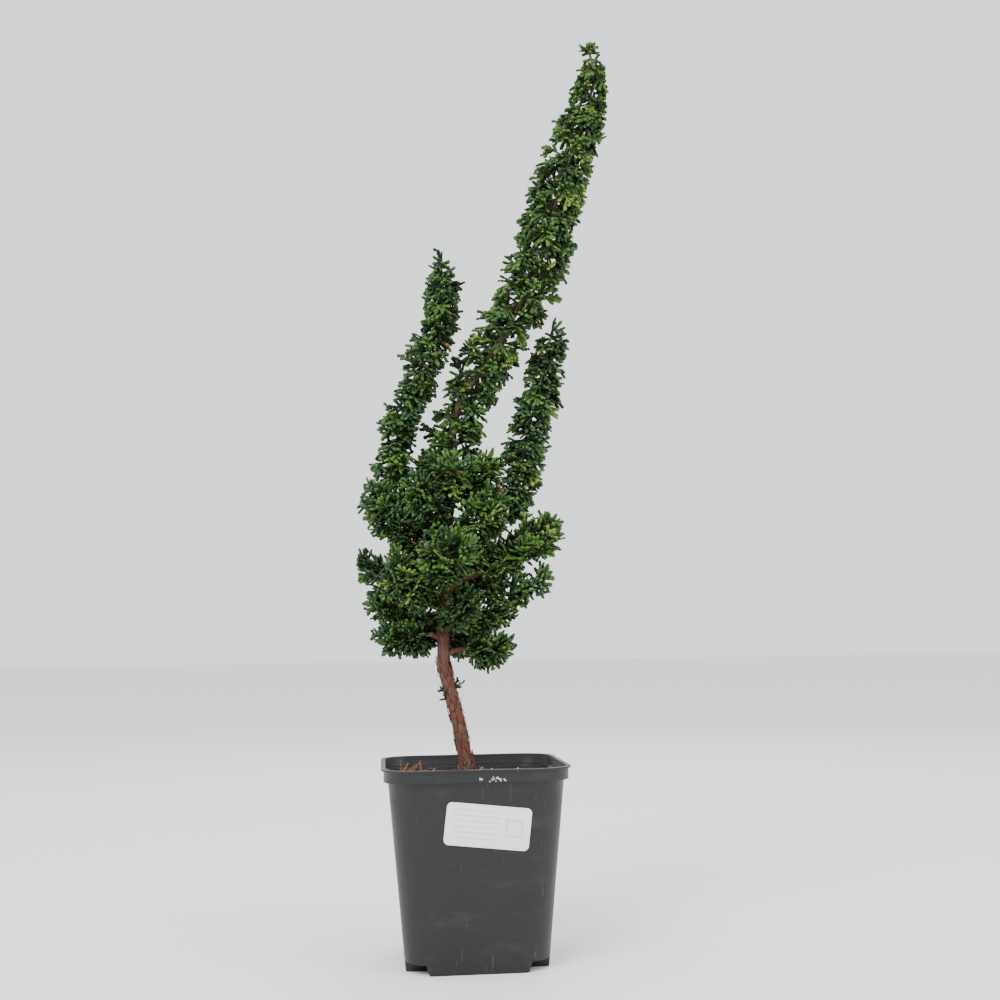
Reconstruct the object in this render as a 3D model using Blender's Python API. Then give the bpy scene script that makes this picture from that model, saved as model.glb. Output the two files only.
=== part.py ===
"""Sekka hinoki cypress bonsai in its square nursery pot.

Metres, +Z up. The origin is the middle of the pot's flat underside, +X runs to the right
along the pot's front and +Y to the back. The leaning stem is one tapering limb from the
soil to the tip of the tall leader. Boughs carry masses of foliage at their tips, and the
other masses stand on the stem itself, all the way up the leader. A mass is a twiggy
branch with fingered sprays, grown by one seeded rule into the space given to it.
"""

import math
from typing import NamedTuple

import bmesh
import bpy
import numpy as np

MM = 0.001

# Pot, a square container of about one litre
RIM_SIDE = 110 * MM
LIP_THICKNESS = 1.2 * MM
BAND_SIDE = 107 * MM
BAND_HEIGHT = 7.5 * MM
WALL_TOP_SIDE = 102 * MM
WALL_BASE_SIDE = 82.5 * MM
POT_HEIGHT = 114 * MM
WALL = 1.2 * MM
RIM_CORNER = 20 * MM
TOP_CORNER = 18 * MM
BASE_CORNER = 16 * MM
CORNER_STEPS = 4
FOOT_HEIGHT = 6 * MM
FOOT_HALF_AT_GROUND = 28.5 * MM
FOOT_HALF_AT_TOP = 30 * MM
DRAIN_RADIUS = 3 * MM
DRAIN_OFFSET = 15 * MM
CORNER_DRAIN_RADIUS = 2.2 * MM
CORNER_DRAIN_OFFSET = 34 * MM
DRAIN_SIDES = 8

# Soil and label
SOIL_TOP = 104 * MM
LABEL_WIDTH = 48.5 * MM
LABEL_HEIGHT = 24 * MM
LABEL_CORNER = 3 * MM
LABEL_THICKNESS = 0.4 * MM
LABEL_CENTRE_X = 5 * MM
LABEL_CENTRE_Z = 82 * MM
LABEL_TURN = math.radians(-6.2)

# Gap between pieces that touch on the real plant
CLEAR = 0.3 * MM
JOINT_GAP = 1.1 * MM

# Stem from the soil to the tip of the tall leader, and its thickness by height
TRUNK_POINTS = np.array([
    (-2.5, 0, 104.3), (-6, 0.5, 128), (-12, 1, 154), (-16.5, 1.5, 174), (-16.5, 2, 212),
    (-13.5, 2, 255), (-11, 1, 298), (-7, -1, 331), (13, -3, 362), (33, -4, 397),
    (49, -4, 432), (62, -3, 481), (77, -1, 522), (86, 0, 553), (83.5, 0, 570),
]) * MM
TRUNK_HEIGHTS = np.array([104.3, 110, 124, 182, 240, 300, 362, 432, 522, 570]) * MM
TRUNK_RADII = np.array([5.4, 4.6, 4.0, 3.9, 3.3, 2.6, 2.0, 1.5, 1.0, 0.8]) * MM
TRUNK_SIDES = 9
BOUGH_SIDES = 5

# Foliage round the tall leader: the heights of its side branches, and how far it reaches
LEADER_FROM = 304 * MM
LEADER_TO = 558 * MM
LEADER_LATERALS = 17
LEADER_HEIGHTS = np.array([300, 345, 400, 450, 485, 515, 540, 556, 580]) * MM
LEADER_REACH = np.array([20, 19, 21, 20.5, 18.5, 15.5, 12, 8, 7]) * MM
LATERAL_SHARE = 0.4
TIP_LENGTH = 3 * MM
LATERAL_LEAN = math.radians(72)

# Two lesser leaders: the line of each stem and its reach from foot to tip
LEFT_LEADER = np.array([
    (-45, 2, 290), (-46, 1, 300), (-43, -1, 318), (-31, -3, 351), (-19, -3, 381),
    (-15, -2, 408), (-16.5, -1, 428),
]) * MM
LEFT_REACH = np.array([18, 18, 16, 16, 14, 10.5, 7]) * MM
RIGHT_LEADER = np.array([
    (28.5, 6.5, 273), (32.5, 5, 285), (36, 3, 309), (42.5, 1, 334), (49, 0, 359),
    (54, 0, 380),
]) * MM
RIGHT_REACH = np.array([12, 15.5, 16, 17, 13, 9]) * MM

# Twigs and sprays. A dense mass has more and shorter sprays, which stand out of its core
FIRST_SEED = 100
GOLDEN_TURN = math.radians(137.5)
STEM_RADIUS = 1.1 * MM
STEM_SIDES = 4
TWIG_RADIUS = 0.8 * MM
TWIG_SIDES = 3
TWIG_STEP = 4 * MM
DENSE_TWIG_STEP = 4.1 * MM
LEADER_TWIG_STEP = 3.2 * MM
FEWEST_TWIGS = 5
FIRST_LEAN = math.radians(100)
LAST_LEAN = math.radians(38)
LEADER_LEAN = math.radians(72)
TWIG_DROOP = 0.3
LONGEST_TWIG = 34 * MM
SHORTEST_STALK = 2.5 * MM
SPRAY_LENGTH = 19 * MM
DENSE_SPRAY_LENGTH = 16 * MM
SHORTEST_SPRAY = 5 * MM
SPRAY_THICKNESS = 0.14
SPRAY_SHRINK = (1, 0.85, 0.7, 0.55)
# Outline of half a spray, as shares of its length: along it and across. An open spray has
# five fingers, and one that stands out of a core has three
SPRAY_OUTLINE = [(0, 0), (0.30, 0.33), (0.44, 0.12), (0.74, 0.33), (0.67, 0.12), (1, 0)]
DENSE_SPRAY_OUTLINE = [(0, 0), (0.64, 0.36), (0.62, 0.12), (1, 0)]
SPRAY_RIDGE = 0.5
ROOT_LENGTH = 1.5 * MM
CORE_SHARE = 0.62

BARK = ((0.20, 0.085, 0.05), 0.85)
FOLIAGE = ((0.06, 0.17, 0.05), 0.6)
PLASTIC = ((0.045, 0.047, 0.052), 0.42)
EARTH = ((0.06, 0.038, 0.026), 0.95)
PAPER = ((0.85, 0.83, 0.83), 0.5)


class Bough(NamedTuple):
    """A limb that leaves the stem at a height, and carries one mass at its tip."""

    name: str
    height: float
    tip: tuple
    radius: float


class Mass(NamedTuple):
    """A branch of foliage. heading is 0 to the right and 90 to the back, in degrees."""

    name: str
    limb: str
    height: float
    heading: float
    rise: float
    length: float
    reach: float
    core: bool


BOUGHS = [
    Bough("bough_low_right", 177, (-1, -2, 182), 1.6),
    Bough("bough_low_left", 187, (-29, -3, 191), 1.7),
    Bough("bough_right", 214, (7, -4, 228), 2.0),
    Bough("bough_front", 222, (-17, -17, 229), 1.8),
    Bough("bough_back", 228, (-12, 20, 238), 1.8),
    Bough("bough_left_leader", 238, (-40.5, 3.5, 279), 2.2),
    Bough("bough_right_leader", 244, (24, 7.5, 260.5), 2.0),
]

# name, limb, height on the stem, heading, rise, stem length, reach, dense
MASSES = [
    Mass("low_right", "bough_low_right", 0, -8, -6, 15, 14, True),
    Mass("low_left", "bough_low_left", 0, 185, -8, 17, 15, True),
    Mass("low_back_left", "trunk", 191, 125, 4, 28, 18, True),
    Mass("low_back_right", "trunk", 189, 55, 6, 29, 18, True),
    Mass("low_front", "trunk", 200, 298, 10, 22, 15, True),
    Mass("left_low", "trunk", 202, 178, 6, 31, 16, True),
    Mass("right_low", "trunk", 194, -5, 16, 28, 19, True),
    Mass("left_spray", "trunk", 208, 183, 24, 46, 10, False),
    Mass("right_spray", "trunk", 203, -12, 13, 56, 11, False),
    Mass("front_left", "trunk", 212, 226, 16, 32, 20, True),
    Mass("back_left", "trunk", 212, 140, 18, 36, 22, True),
    Mass("back_right", "trunk", 216, 42, 20, 38, 22, True),
    Mass("front_main", "bough_front", 0, 270, 16, 22, 22, True),
    Mass("right_main", "bough_right", 0, -6, 28, 40, 20, True),
    Mass("back_main", "bough_back", 0, 88, 24, 24, 22, True),
    Mass("left_mid", "trunk", 229, 198, 44, 50, 18, True),
    Mass("front_right", "trunk", 238, 318, 34, 36, 20, True),
    Mass("front_upper", "trunk", 246, 232, 46, 32, 20, True),
    Mass("back_upper", "trunk", 248, 148, 42, 32, 20, True),
    Mass("head_front", "trunk", 266, 268, 44, 25, 19, True),
    Mass("head_right", "trunk", 268, -12, 48, 25, 17, True),
    Mass("head_back", "trunk", 274, 92, 42, 25, 19, True),
    Mass("head_left", "trunk", 282, 168, 50, 12, 13, True),
]


class Limb(NamedTuple):
    """A tapering tube: points along its middle and the radius at each."""

    points: np.ndarray
    radii: np.ndarray


class Space(NamedTuple):
    """The room a mass may fill: all that lies within radii of a line."""

    points: np.ndarray
    radii: np.ndarray


def clear_scene():
    """Remove whatever objects the scene holds."""
    for obj in list(bpy.data.objects):
        bpy.data.objects.remove(obj, do_unlink=True)


def unit(vector):
    return vector / np.linalg.norm(vector)


def smooth_path(points, per_span):
    """Catmull-Rom curve through the points, with per_span steps between neighbours."""
    padded = np.vstack([2 * points[0] - points[1], points, 2 * points[-1] - points[-2]])
    steps = np.linspace(0, 1, per_span, endpoint=False)[:, None]
    spans = []
    for a, b, c, d in zip(padded, padded[1:], padded[2:], padded[3:]):
        spans.append(0.5 * (
            2 * b + (c - a) * steps + (2 * a - 5 * b + 4 * c - d) * steps**2
            + (3 * b - a - 3 * c + d) * steps**3
        ))
    return np.vstack([*spans, points[-1:]])


def along(points, share):
    """Point and direction at a share of a line's length."""
    lengths = np.linalg.norm(np.diff(points, axis=0), axis=1)
    marks = np.concatenate([[0], np.cumsum(lengths)])
    here = share * marks[-1]
    span = min(np.searchsorted(marks, here, side="right") - 1, len(lengths) - 1)
    direction = (points[span + 1] - points[span]) / lengths[span]
    return points[span] + direction * (here - marks[span]), direction


def at_height(points, height):
    """Point and direction of a rising line at a height."""
    span = int(np.clip(np.searchsorted(points[:, 2], height) - 1, 0, len(points) - 2))
    low, high = points[span], points[span + 1]
    share = (height - low[2]) / (high[2] - low[2])
    return low + (high - low) * share, unit(high - low)


def distances(samples, line):
    """Distance of every sample to every straight stretch of a line."""
    start, stretch = line[:-1], np.diff(line, axis=0)
    offset = samples[:, None] - start
    share = (offset * stretch).sum(2) / (stretch**2).sum(1)
    share = np.clip(share, 0, 1)[..., None]
    return np.linalg.norm(offset - share * stretch, axis=2)


def stretch_radii(radii):
    """The larger end radius of each stretch of a tube."""
    return np.maximum(radii[:-1], radii[1:])


def side_vectors(direction, turn):
    """Two unit vectors square to a direction, the first turned about it from level."""
    reference = np.array([0, 0, 1.0]) if abs(direction[2]) < 0.9 else np.array([1.0, 0, 0])
    level = unit(np.cross(reference, direction))
    upright = np.cross(direction, level)
    first = math.cos(turn) * level + math.sin(turn) * upright
    return first, np.cross(direction, first)


def new_object(name, vertices, faces, finish):
    """A mesh object with the faces turned outwards and a plain material."""
    mesh = bpy.data.meshes.new(name)
    mesh.from_pydata([tuple(map(float, v)) for v in vertices], [], faces)
    shape = bmesh.new()
    shape.from_mesh(mesh)
    bmesh.ops.recalc_face_normals(shape, faces=shape.faces)
    shape.to_mesh(mesh)
    shape.free()
    mesh.materials.append(material_of(*finish))
    obj = bpy.data.objects.new(name, mesh)
    bpy.context.scene.collection.objects.link(obj)
    return obj


def material_of(colour, roughness):
    """One shared Principled material for each colour."""
    name = "finish_" + "_".join(f"{round(c * 1000):03d}" for c in colour)
    material = bpy.data.materials.get(name)
    if material is None:
        material = bpy.data.materials.new(name)
        material.use_nodes = True
        shader = material.node_tree.nodes["Principled BSDF"]
        shader.inputs["Base Color"].default_value = (*colour, 1)
        shader.inputs["Roughness"].default_value = roughness
    return material


def as_cutter(obj):
    """Keep a helper out of the finished part."""
    obj.hide_render = True
    obj.display_type = "WIRE"
    return obj


def cut(obj, cutter):
    """Take a cutter's shape out of an object."""
    modifier = obj.modifiers.new(cutter.name, "BOOLEAN")
    modifier.operation = "DIFFERENCE"
    modifier.solver = "EXACT"
    modifier.object = cutter


def loft_faces(count, sides):
    """Faces of a tube of rings, closed by a cap at each end."""
    faces = [tuple(range(sides)), tuple(range((count - 1) * sides, count * sides))]
    for ring in range(count - 1):
        for side in range(sides):
            after = (side + 1) % sides
            low, high = ring * sides, (ring + 1) * sides
            faces.append((low + side, low + after, high + after, high + side))
    return faces


def rounded_square(side, corner, height):
    """Ring of points round a square with rounded corners, at a height."""
    ring = []
    for quarter in range(4):
        start = quarter * math.pi / 2
        middle = start + math.pi / 4
        reach = (side / 2 - corner) * math.sqrt(2)
        for step in range(CORNER_STEPS + 1):
            angle = start + step / CORNER_STEPS * math.pi / 2
            ring.append((
                reach * math.cos(middle) + corner * math.cos(angle),
                reach * math.sin(middle) + corner * math.sin(angle),
                height,
            ))
    return ring


def lofted(name, rings, finish):
    """Solid through rings of equal count, each given as side, corner and height."""
    vertices = [point for ring in rings for point in rounded_square(*ring)]
    return new_object(name, vertices, loft_faces(len(rings), 4 * (CORNER_STEPS + 1)), finish)


def wall_side(height, inset):
    """Side of the pot's tapering wall at a height, drawn in by an inset."""
    share = height / (POT_HEIGHT - BAND_HEIGHT)
    return WALL_BASE_SIDE + (WALL_TOP_SIDE - WALL_BASE_SIDE) * share - 2 * inset


def corner_blocks(name, growth, top):
    """Four tapering blocks under the pot's corners, grown on all sides by an amount."""
    low = -5 * MM
    slope = (FOOT_HALF_AT_TOP - FOOT_HALF_AT_GROUND) / FOOT_HEIGHT
    blocks = []
    for sign_x, sign_y in ((1, 1), (-1, 1), (-1, -1), (1, -1)):
        vertices = []
        for height in (low, top):
            inner = FOOT_HALF_AT_GROUND + slope * height - growth
            outer = RIM_SIDE
            for x, y in ((inner, inner), (outer, inner), (outer, outer), (inner, outer)):
                vertices.append((sign_x * x, sign_y * y, height))
        blocks.append(as_cutter(
            new_object(f"{name}_{len(blocks)}", vertices, loft_faces(2, 4), PLASTIC)
        ))
    return blocks


def drain_cutters():
    """Round holes through the pot's floor and through the roofs of its corner steps."""
    holes = []
    for offset, radius in (
        (DRAIN_OFFSET, DRAIN_RADIUS),
        (CORNER_DRAIN_OFFSET, CORNER_DRAIN_RADIUS),
    ):
        for sign_x, sign_y in ((1, 1), (-1, 1), (-1, -1), (1, -1)):
            turns = [2 * math.pi * (k + 0.5) / DRAIN_SIDES for k in range(DRAIN_SIDES)]
            vertices = [
                (sign_x * offset + radius * math.cos(t), sign_y * offset + radius * math.sin(t), z)
                for z in (-5 * MM, FOOT_HEIGHT + 5 * MM)
                for t in turns
            ]
            holes.append(as_cutter(
                new_object(f"drain_{len(holes)}", vertices, loft_faces(2, DRAIN_SIDES), PLASTIC)
            ))
    return holes


def make_pot():
    """Tapering square pot with a turned-out rim band, standing on a cross-shaped floor."""
    shoulder = POT_HEIGHT - BAND_HEIGHT
    lip = POT_HEIGHT - LIP_THICKNESS
    pot = lofted("pot", [
        (WALL_BASE_SIDE, BASE_CORNER, 0),
        (WALL_TOP_SIDE, TOP_CORNER, shoulder),
        (BAND_SIDE - WALL, TOP_CORNER + 1.5 * MM, shoulder),
        (BAND_SIDE, RIM_CORNER - 1 * MM, shoulder + WALL / 2),
        (BAND_SIDE, RIM_CORNER - 1 * MM, lip),
        (RIM_SIDE, RIM_CORNER, lip + 0.2 * MM),
        (RIM_SIDE, RIM_CORNER, POT_HEIGHT),
    ], PLASTIC)
    cavity = as_cutter(lofted("pot_cavity", [
        (wall_side(WALL, WALL), BASE_CORNER - WALL, WALL),
        (wall_side(shoulder + WALL, WALL), TOP_CORNER - WALL, shoulder + WALL),
        (BAND_SIDE - 2 * WALL, RIM_CORNER - 1 * MM - WALL, shoulder + WALL),
        (BAND_SIDE - 2 * WALL, RIM_CORNER - 1 * MM - WALL, POT_HEIGHT + 5 * MM),
    ], PLASTIC))
    for block in corner_blocks("step_wall", WALL, FOOT_HEIGHT + WALL):
        cut(cavity, block)
    cut(pot, cavity)
    for cutter in corner_blocks("step", 0, FOOT_HEIGHT) + drain_cutters():
        cut(pot, cutter)


def make_soil():
    """Soil that fills the pot to its level, clear of the walls and the corner steps."""
    inset = WALL + CLEAR
    floor = WALL + CLEAR
    soil = lofted("soil", [
        (wall_side(floor, inset), BASE_CORNER - inset, floor),
        (wall_side(SOIL_TOP, inset), TOP_CORNER - inset, SOIL_TOP),
    ], EARTH)
    for block in corner_blocks("soil_step", inset, FOOT_HEIGHT + inset):
        cut(soil, block)


def make_label():
    """Blank sticker with round corners on the front wall, turned a little askew."""
    outline = []
    for quarter, (sign_x, sign_y) in enumerate(((1, 1), (-1, 1), (-1, -1), (1, -1))):
        for step in range(4):
            angle = (quarter + step / 3) * math.pi / 2
            outline.append((
                sign_x * (LABEL_WIDTH / 2 - LABEL_CORNER) + LABEL_CORNER * math.cos(angle),
                sign_y * (LABEL_HEIGHT / 2 - LABEL_CORNER) + LABEL_CORNER * math.sin(angle),
            ))
    slope = (WALL_TOP_SIDE - WALL_BASE_SIDE) / 2 / (POT_HEIGHT - BAND_HEIGHT)
    up = unit(np.array([0, -slope, 1.0]))
    right = np.array([1.0, 0, 0])
    out = np.cross(right, up)
    centre = np.array([LABEL_CENTRE_X, -wall_side(LABEL_CENTRE_Z, 0) / 2, LABEL_CENTRE_Z])
    vertices = []
    for depth in (CLEAR, CLEAR + LABEL_THICKNESS):
        for x, y in outline:
            turned_x = x * math.cos(LABEL_TURN) - y * math.sin(LABEL_TURN)
            turned_y = x * math.sin(LABEL_TURN) + y * math.cos(LABEL_TURN)
            vertices.append(centre + right * turned_x + up * turned_y + out * depth)
    new_object("label", vertices, loft_faces(2, len(outline)), PAPER)


def tube_shape(points, radii, sides, level_foot=False):
    """Vertices and faces of a tube. Its rings are carried along without twisting."""
    tangents = np.gradient(points, axis=0)
    if level_foot:
        tangents[0] = (0, 0, 1)
    side = side_vectors(unit(tangents[0]), 0)[0]
    vertices = []
    for point, tangent, radius in zip(points, tangents, radii):
        tangent = unit(tangent)
        side = unit(side - tangent * (side @ tangent))
        other = np.cross(tangent, side)
        for k in range(sides):
            turn = 2 * math.pi * k / sides
            vertices.append(point + radius * (math.cos(turn) * side + math.sin(turn) * other))
    return vertices, loft_faces(len(points), sides)


def trunk_limb():
    points = smooth_path(TRUNK_POINTS, 2)
    return Limb(points, np.interp(points[:, 2], TRUNK_HEIGHTS, TRUNK_RADII))


def bough_limb(bough, trunk):
    """A bough that starts clear of the stem's bark and lifts in an even curve to its tip."""
    foot, _ = at_height(trunk.points, bough.height * MM)
    tip = np.array(bough.tip) * MM
    middle = (foot + tip) / 2 + np.array([0, 0, 0.12 * np.linalg.norm(tip - foot)])
    radius = bough.radius * MM
    direction = unit(middle - foot)
    start = clear_start(foot, direction, radius, trunk)
    points = smooth_path(np.array([start, (middle + start * 0.2) / 1.2, tip]), 3)
    return Limb(points, np.linspace(radius, 0.7 * radius, len(points)))


def clear_start(foot, direction, radius, limb):
    """The nearest point along a direction at which a round end clears a limb's bark."""
    first, second = side_vectors(direction, 0)
    turns = np.linspace(0, 2 * math.pi, 12, endpoint=False)[:, None]
    ring = radius * (np.cos(turns) * first + np.sin(turns) * second)
    start = foot.copy()
    while (distances(start + ring, limb.points) - stretch_radii(limb.radii)).min() < CLEAR:
        start = start + direction * 0.05 * MM
    return start


def heading_vector(heading, rise):
    heading, rise = math.radians(heading), math.radians(rise)
    return np.array([
        math.cos(heading) * math.cos(rise),
        math.sin(heading) * math.cos(rise),
        math.sin(rise),
    ])


def crown_branch(mass, limbs):
    """Stem and space of a crown mass. The stem bends up a little towards its tip."""
    direction = heading_vector(mass.heading, mass.rise)
    length = mass.length * MM
    if mass.limb == "trunk":
        foot, _ = at_height(limbs["trunk"].points, mass.height * MM)
        start = clear_start(foot, direction, STEM_RADIUS, limbs["trunk"])
    else:
        start = limbs[mass.limb].points[-1] + direction * CLEAR
    shares = np.linspace(0, 1, 6)[:, None]
    lift = np.array([0, 0, 0.10 * length])
    stem = start + direction * shares * length + lift * shares**2
    radii = mass.reach * MM * np.array([0.55, 0.85, 1.0, 1.05, 1.0, 0.8])
    return stem, Space(stem, radii)


def leader_branches(trunk):
    """Side branches of the tall leader, spaced evenly and turned by the golden angle."""
    heights = np.linspace(LEADER_FROM, LEADER_TO, LEADER_LATERALS)
    reach_at = np.interp(trunk.points[:, 2], LEADER_HEIGHTS, LEADER_REACH)
    on_leader = trunk.points[:, 2] > LEADER_FROM - 15 * MM
    space = Space(trunk.points[on_leader], reach_at[on_leader])
    shares = np.linspace(0, 1, 4)[:, None]
    branches = {}
    for number, height in enumerate(heights):
        foot, up = at_height(trunk.points, height)
        out, _ = side_vectors(up, number * GOLDEN_TURN)
        direction = math.cos(LATERAL_LEAN) * up + math.sin(LATERAL_LEAN) * out
        start = clear_start(foot, direction, STEM_RADIUS, trunk)
        length = LATERAL_SHARE * np.interp(height, LEADER_HEIGHTS, LEADER_REACH)
        stem = start + direction * shares * length
        branches[f"leader_{number + 1:02d}"] = (stem, space)
    return branches


def leader_stem(name, limbs, points, reach):
    """Stem and space of a lesser leader, from the tip of its bough to its own tip."""
    tip = limbs[name].points[-1]
    start = tip + JOINT_GAP * unit(points[0] - tip)
    return smooth_path(np.vstack([start, points]), 2), Space(points, reach)


def tip_branch(trunk):
    """The last shoot, which goes on from the end of the stem."""
    direction = unit(np.array([-0.28, 0.0, 1.0]))
    start = trunk.points[-1] + direction * CLEAR
    shares = np.linspace(0, 1, 3)[:, None]
    stem = start + direction * shares * TIP_LENGTH
    return stem, Space(stem, np.array([6, 6, 5]) * MM)


def free_run(foot, direction, longest, test):
    """How far a twig can run from its foot before it leaves its room."""
    steps = np.arange(1, int(longest / MM) + 1) * MM
    inside = test(foot + direction * steps[:, None], TWIG_RADIUS)
    inside |= steps < 4 * MM
    return steps[-1] if inside.all() else steps[max(inside.argmin() - 1, 0)]


def spray_shape(root, direction, across, length, half):
    """A blade with fingers and a ridge, from the outline of its right half."""
    normal = np.cross(direction, across)
    right = [root + length * (a * direction + s * across) for a, s in half]
    left = [root + length * (a * direction - s * across) for a, s in half[-2:0:-1]]
    ridge = root + length * SPRAY_RIDGE * direction
    rise = length * SPRAY_THICKNESS / 2 * normal
    outline = right + left
    count = len(outline)
    faces = []
    for k in range(count):
        after = (k + 1) % count
        faces += [(k, after, count), (after, k, count + 1)]
    return outline + [ridge + rise, ridge - rise], faces


def surface_samples(vertices, faces, cuts):
    """Points spread evenly over triangles, to test the room of a shape."""
    weights = np.array([
        (i, j, cuts - i - j) for i in range(cuts + 1) for j in range(cuts + 1 - i)
    ]) / cuts
    corners = np.array(vertices)[np.array(faces)]
    return np.einsum("wc,fcx->fwx", weights, corners).reshape(-1, 3)


def room_test(name, branches, limbs):
    """A test of which points lie in a mass's own room: inside its space, nearer to its own
    stem than to any other, and clear of every limb."""
    stem, space = branches[name]
    others = [other for key, (other, _) in branches.items() if key != name]

    def test(samples, margin):
        inside = (distances(samples, space.points) <= stretch_radii(space.radii)).any(1)
        own = distances(samples, stem).min(1)
        nearest = np.min([distances(samples, other).min(1) for other in others], axis=0)
        clear = np.ones(len(samples), bool)
        for limb in limbs.values():
            gap = (distances(samples, limb.points) - stretch_radii(limb.radii)).min(1)
            clear &= gap > margin + CLEAR
        return inside & (nearest - own > 2 * margin + CLEAR) & clear

    return test


class Habit(NamedTuple):
    """How a mass branches: whether it has a core, its twigs' spacing and lean, its sprays."""

    dense: bool
    step: float
    leans: tuple
    spray: float
    outline: list


OPEN = Habit(False, TWIG_STEP, (FIRST_LEAN, LAST_LEAN), SPRAY_LENGTH, SPRAY_OUTLINE)
LEADER = OPEN._replace(step=LEADER_TWIG_STEP, leans=(LEADER_LEAN, LEADER_LEAN))
DENSE = Habit(
    True, DENSE_TWIG_STEP, (FIRST_LEAN, LAST_LEAN), DENSE_SPRAY_LENGTH, DENSE_SPRAY_OUTLINE
)


def grow(name, branches, limbs, seed, habit):
    """All closed shapes of a mass: its stem, twigs by the golden angle, and their sprays."""
    stem, _ = branches[name]
    rng = np.random.default_rng(seed)
    test = room_test(name, branches, limbs)
    length = np.linalg.norm(np.diff(stem, axis=0), axis=1).sum()
    shapes = [tube_shape(stem, np.linspace(1, 0.6, len(stem)) * STEM_RADIUS, STEM_SIDES)]
    if habit.dense:
        shapes.append(core_shape(stem, test))
    foot, direction = along(stem, 0.96)
    shapes += lateral(foot, direction, rng, test, habit)
    count = max(FEWEST_TWIGS, round(length / habit.step))
    for number in range(count):
        share = 0.05 + 0.93 * (number + 0.5) / count
        foot, tangent = along(stem, share)
        out, _ = side_vectors(tangent, number * GOLDEN_TURN + rng.uniform(-0.3, 0.3))
        lean = np.interp(share, (0, 1), habit.leans)
        direction = math.cos(lean) * tangent + math.sin(lean) * out
        direction = unit(direction - np.array([0, 0, TWIG_DROOP]))
        shapes += lateral(foot, direction, rng, test, habit)
    return shapes


def lateral(foot, direction, rng, test, habit):
    """A twig as long as its room lets it be, less the spray at its end, and that spray."""
    run = free_run(foot, direction, LONGEST_TWIG, test)
    spray = min(habit.spray, run)
    shapes = []
    if run - spray > SHORTEST_STALK:
        end = foot + direction * (run - spray)
        ends = np.array([foot, end + direction * 0.1 * spray])
        shapes.append(tube_shape(ends, np.array([1, 0.7]) * TWIG_RADIUS, TWIG_SIDES))
        foot = end
    across, _ = side_vectors(direction, rng.uniform(-0.9, 0.9))
    for share in SPRAY_SHRINK:
        if share * spray < SHORTEST_SPRAY:
            break
        vertices, faces = spray_shape(foot, direction, across, share * spray, habit.outline)
        samples = surface_samples(vertices, faces, 3)
        if test(samples[np.linalg.norm(samples - foot, axis=1) > ROOT_LENGTH], 0).all():
            return [*shapes, (vertices, faces)]
    return []


def core_shape(stem, test):
    """A lump inside a dense mass that reaches a fixed share of the way to where its room ends."""
    centre, _ = along(stem, 0.55)
    shape = bmesh.new()
    bmesh.ops.create_icosphere(shape, subdivisions=2, radius=1)
    corners = np.array([v.co for v in shape.verts])
    faces = np.array([[v.index for v in face.verts] for face in shape.faces])
    nearby = [[e.other_vert(v).index for e in v.link_edges] for v in shape.verts]
    shape.free()
    steps = np.arange(1, 40) * MM
    reach = np.array([
        steps[max(np.argmin(np.append(test(centre + d * steps[:, None], 0), False)) - 1, 0)]
        for d in corners
    ])
    reach = np.array([np.minimum(r, 1.25 * reach[n].mean()) for r, n in zip(reach, nearby)])
    points = centre + CORE_SHARE * reach[:, None] * corners
    while not test(surface_samples(points, faces, 4), 0).all():
        points = centre + 0.94 * (points - centre)
    return list(points), [tuple(map(int, face)) for face in faces]


def fuse(name, shapes, finish):
    """One closed body from overlapping shapes, by one union with a collection."""
    body = new_object(name, *shapes[0], finish)
    group = bpy.data.collections.new(name + "_pieces")
    bpy.context.scene.collection.children.link(group)
    for number, shape in enumerate(shapes[1:]):
        piece = new_object(f"{name}_piece_{number}", *shape, finish)
        bpy.context.scene.collection.objects.unlink(piece)
        group.objects.link(piece)
    union = body.modifiers.new("union", "BOOLEAN")
    union.operation = "UNION"
    union.operand_type = "COLLECTION"
    union.collection = group
    union.solver = "EXACT"
    graph = bpy.context.evaluated_depsgraph_get()
    fused = bpy.data.meshes.new_from_object(body.evaluated_get(graph))
    body.modifiers.clear()
    body.data = fused
    for piece in list(group.objects):
        bpy.data.objects.remove(piece, do_unlink=True)
    bpy.data.collections.remove(group)
    keep_largest(fused)


def keep_largest(mesh):
    """Drop loose scraps, and fill sealed hollows by dropping their inner skins."""
    shape = bmesh.new()
    shape.from_mesh(mesh)
    bmesh.ops.triangulate(shape, faces=shape.faces)
    waiting = set(shape.faces)
    bodies = []
    while waiting:
        body, edge = [], [waiting.pop()]
        while edge:
            face = edge.pop()
            body.append(face)
            near = {f for e in face.edges for f in e.link_faces} & waiting
            waiting -= near
            edge.extend(near)
        bodies.append(body)
    bodies.sort(key=len)
    bmesh.ops.delete(shape, geom=[f for body in bodies[:-1] for f in body], context="FACES")
    shape.to_mesh(mesh)
    shape.free()


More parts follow.
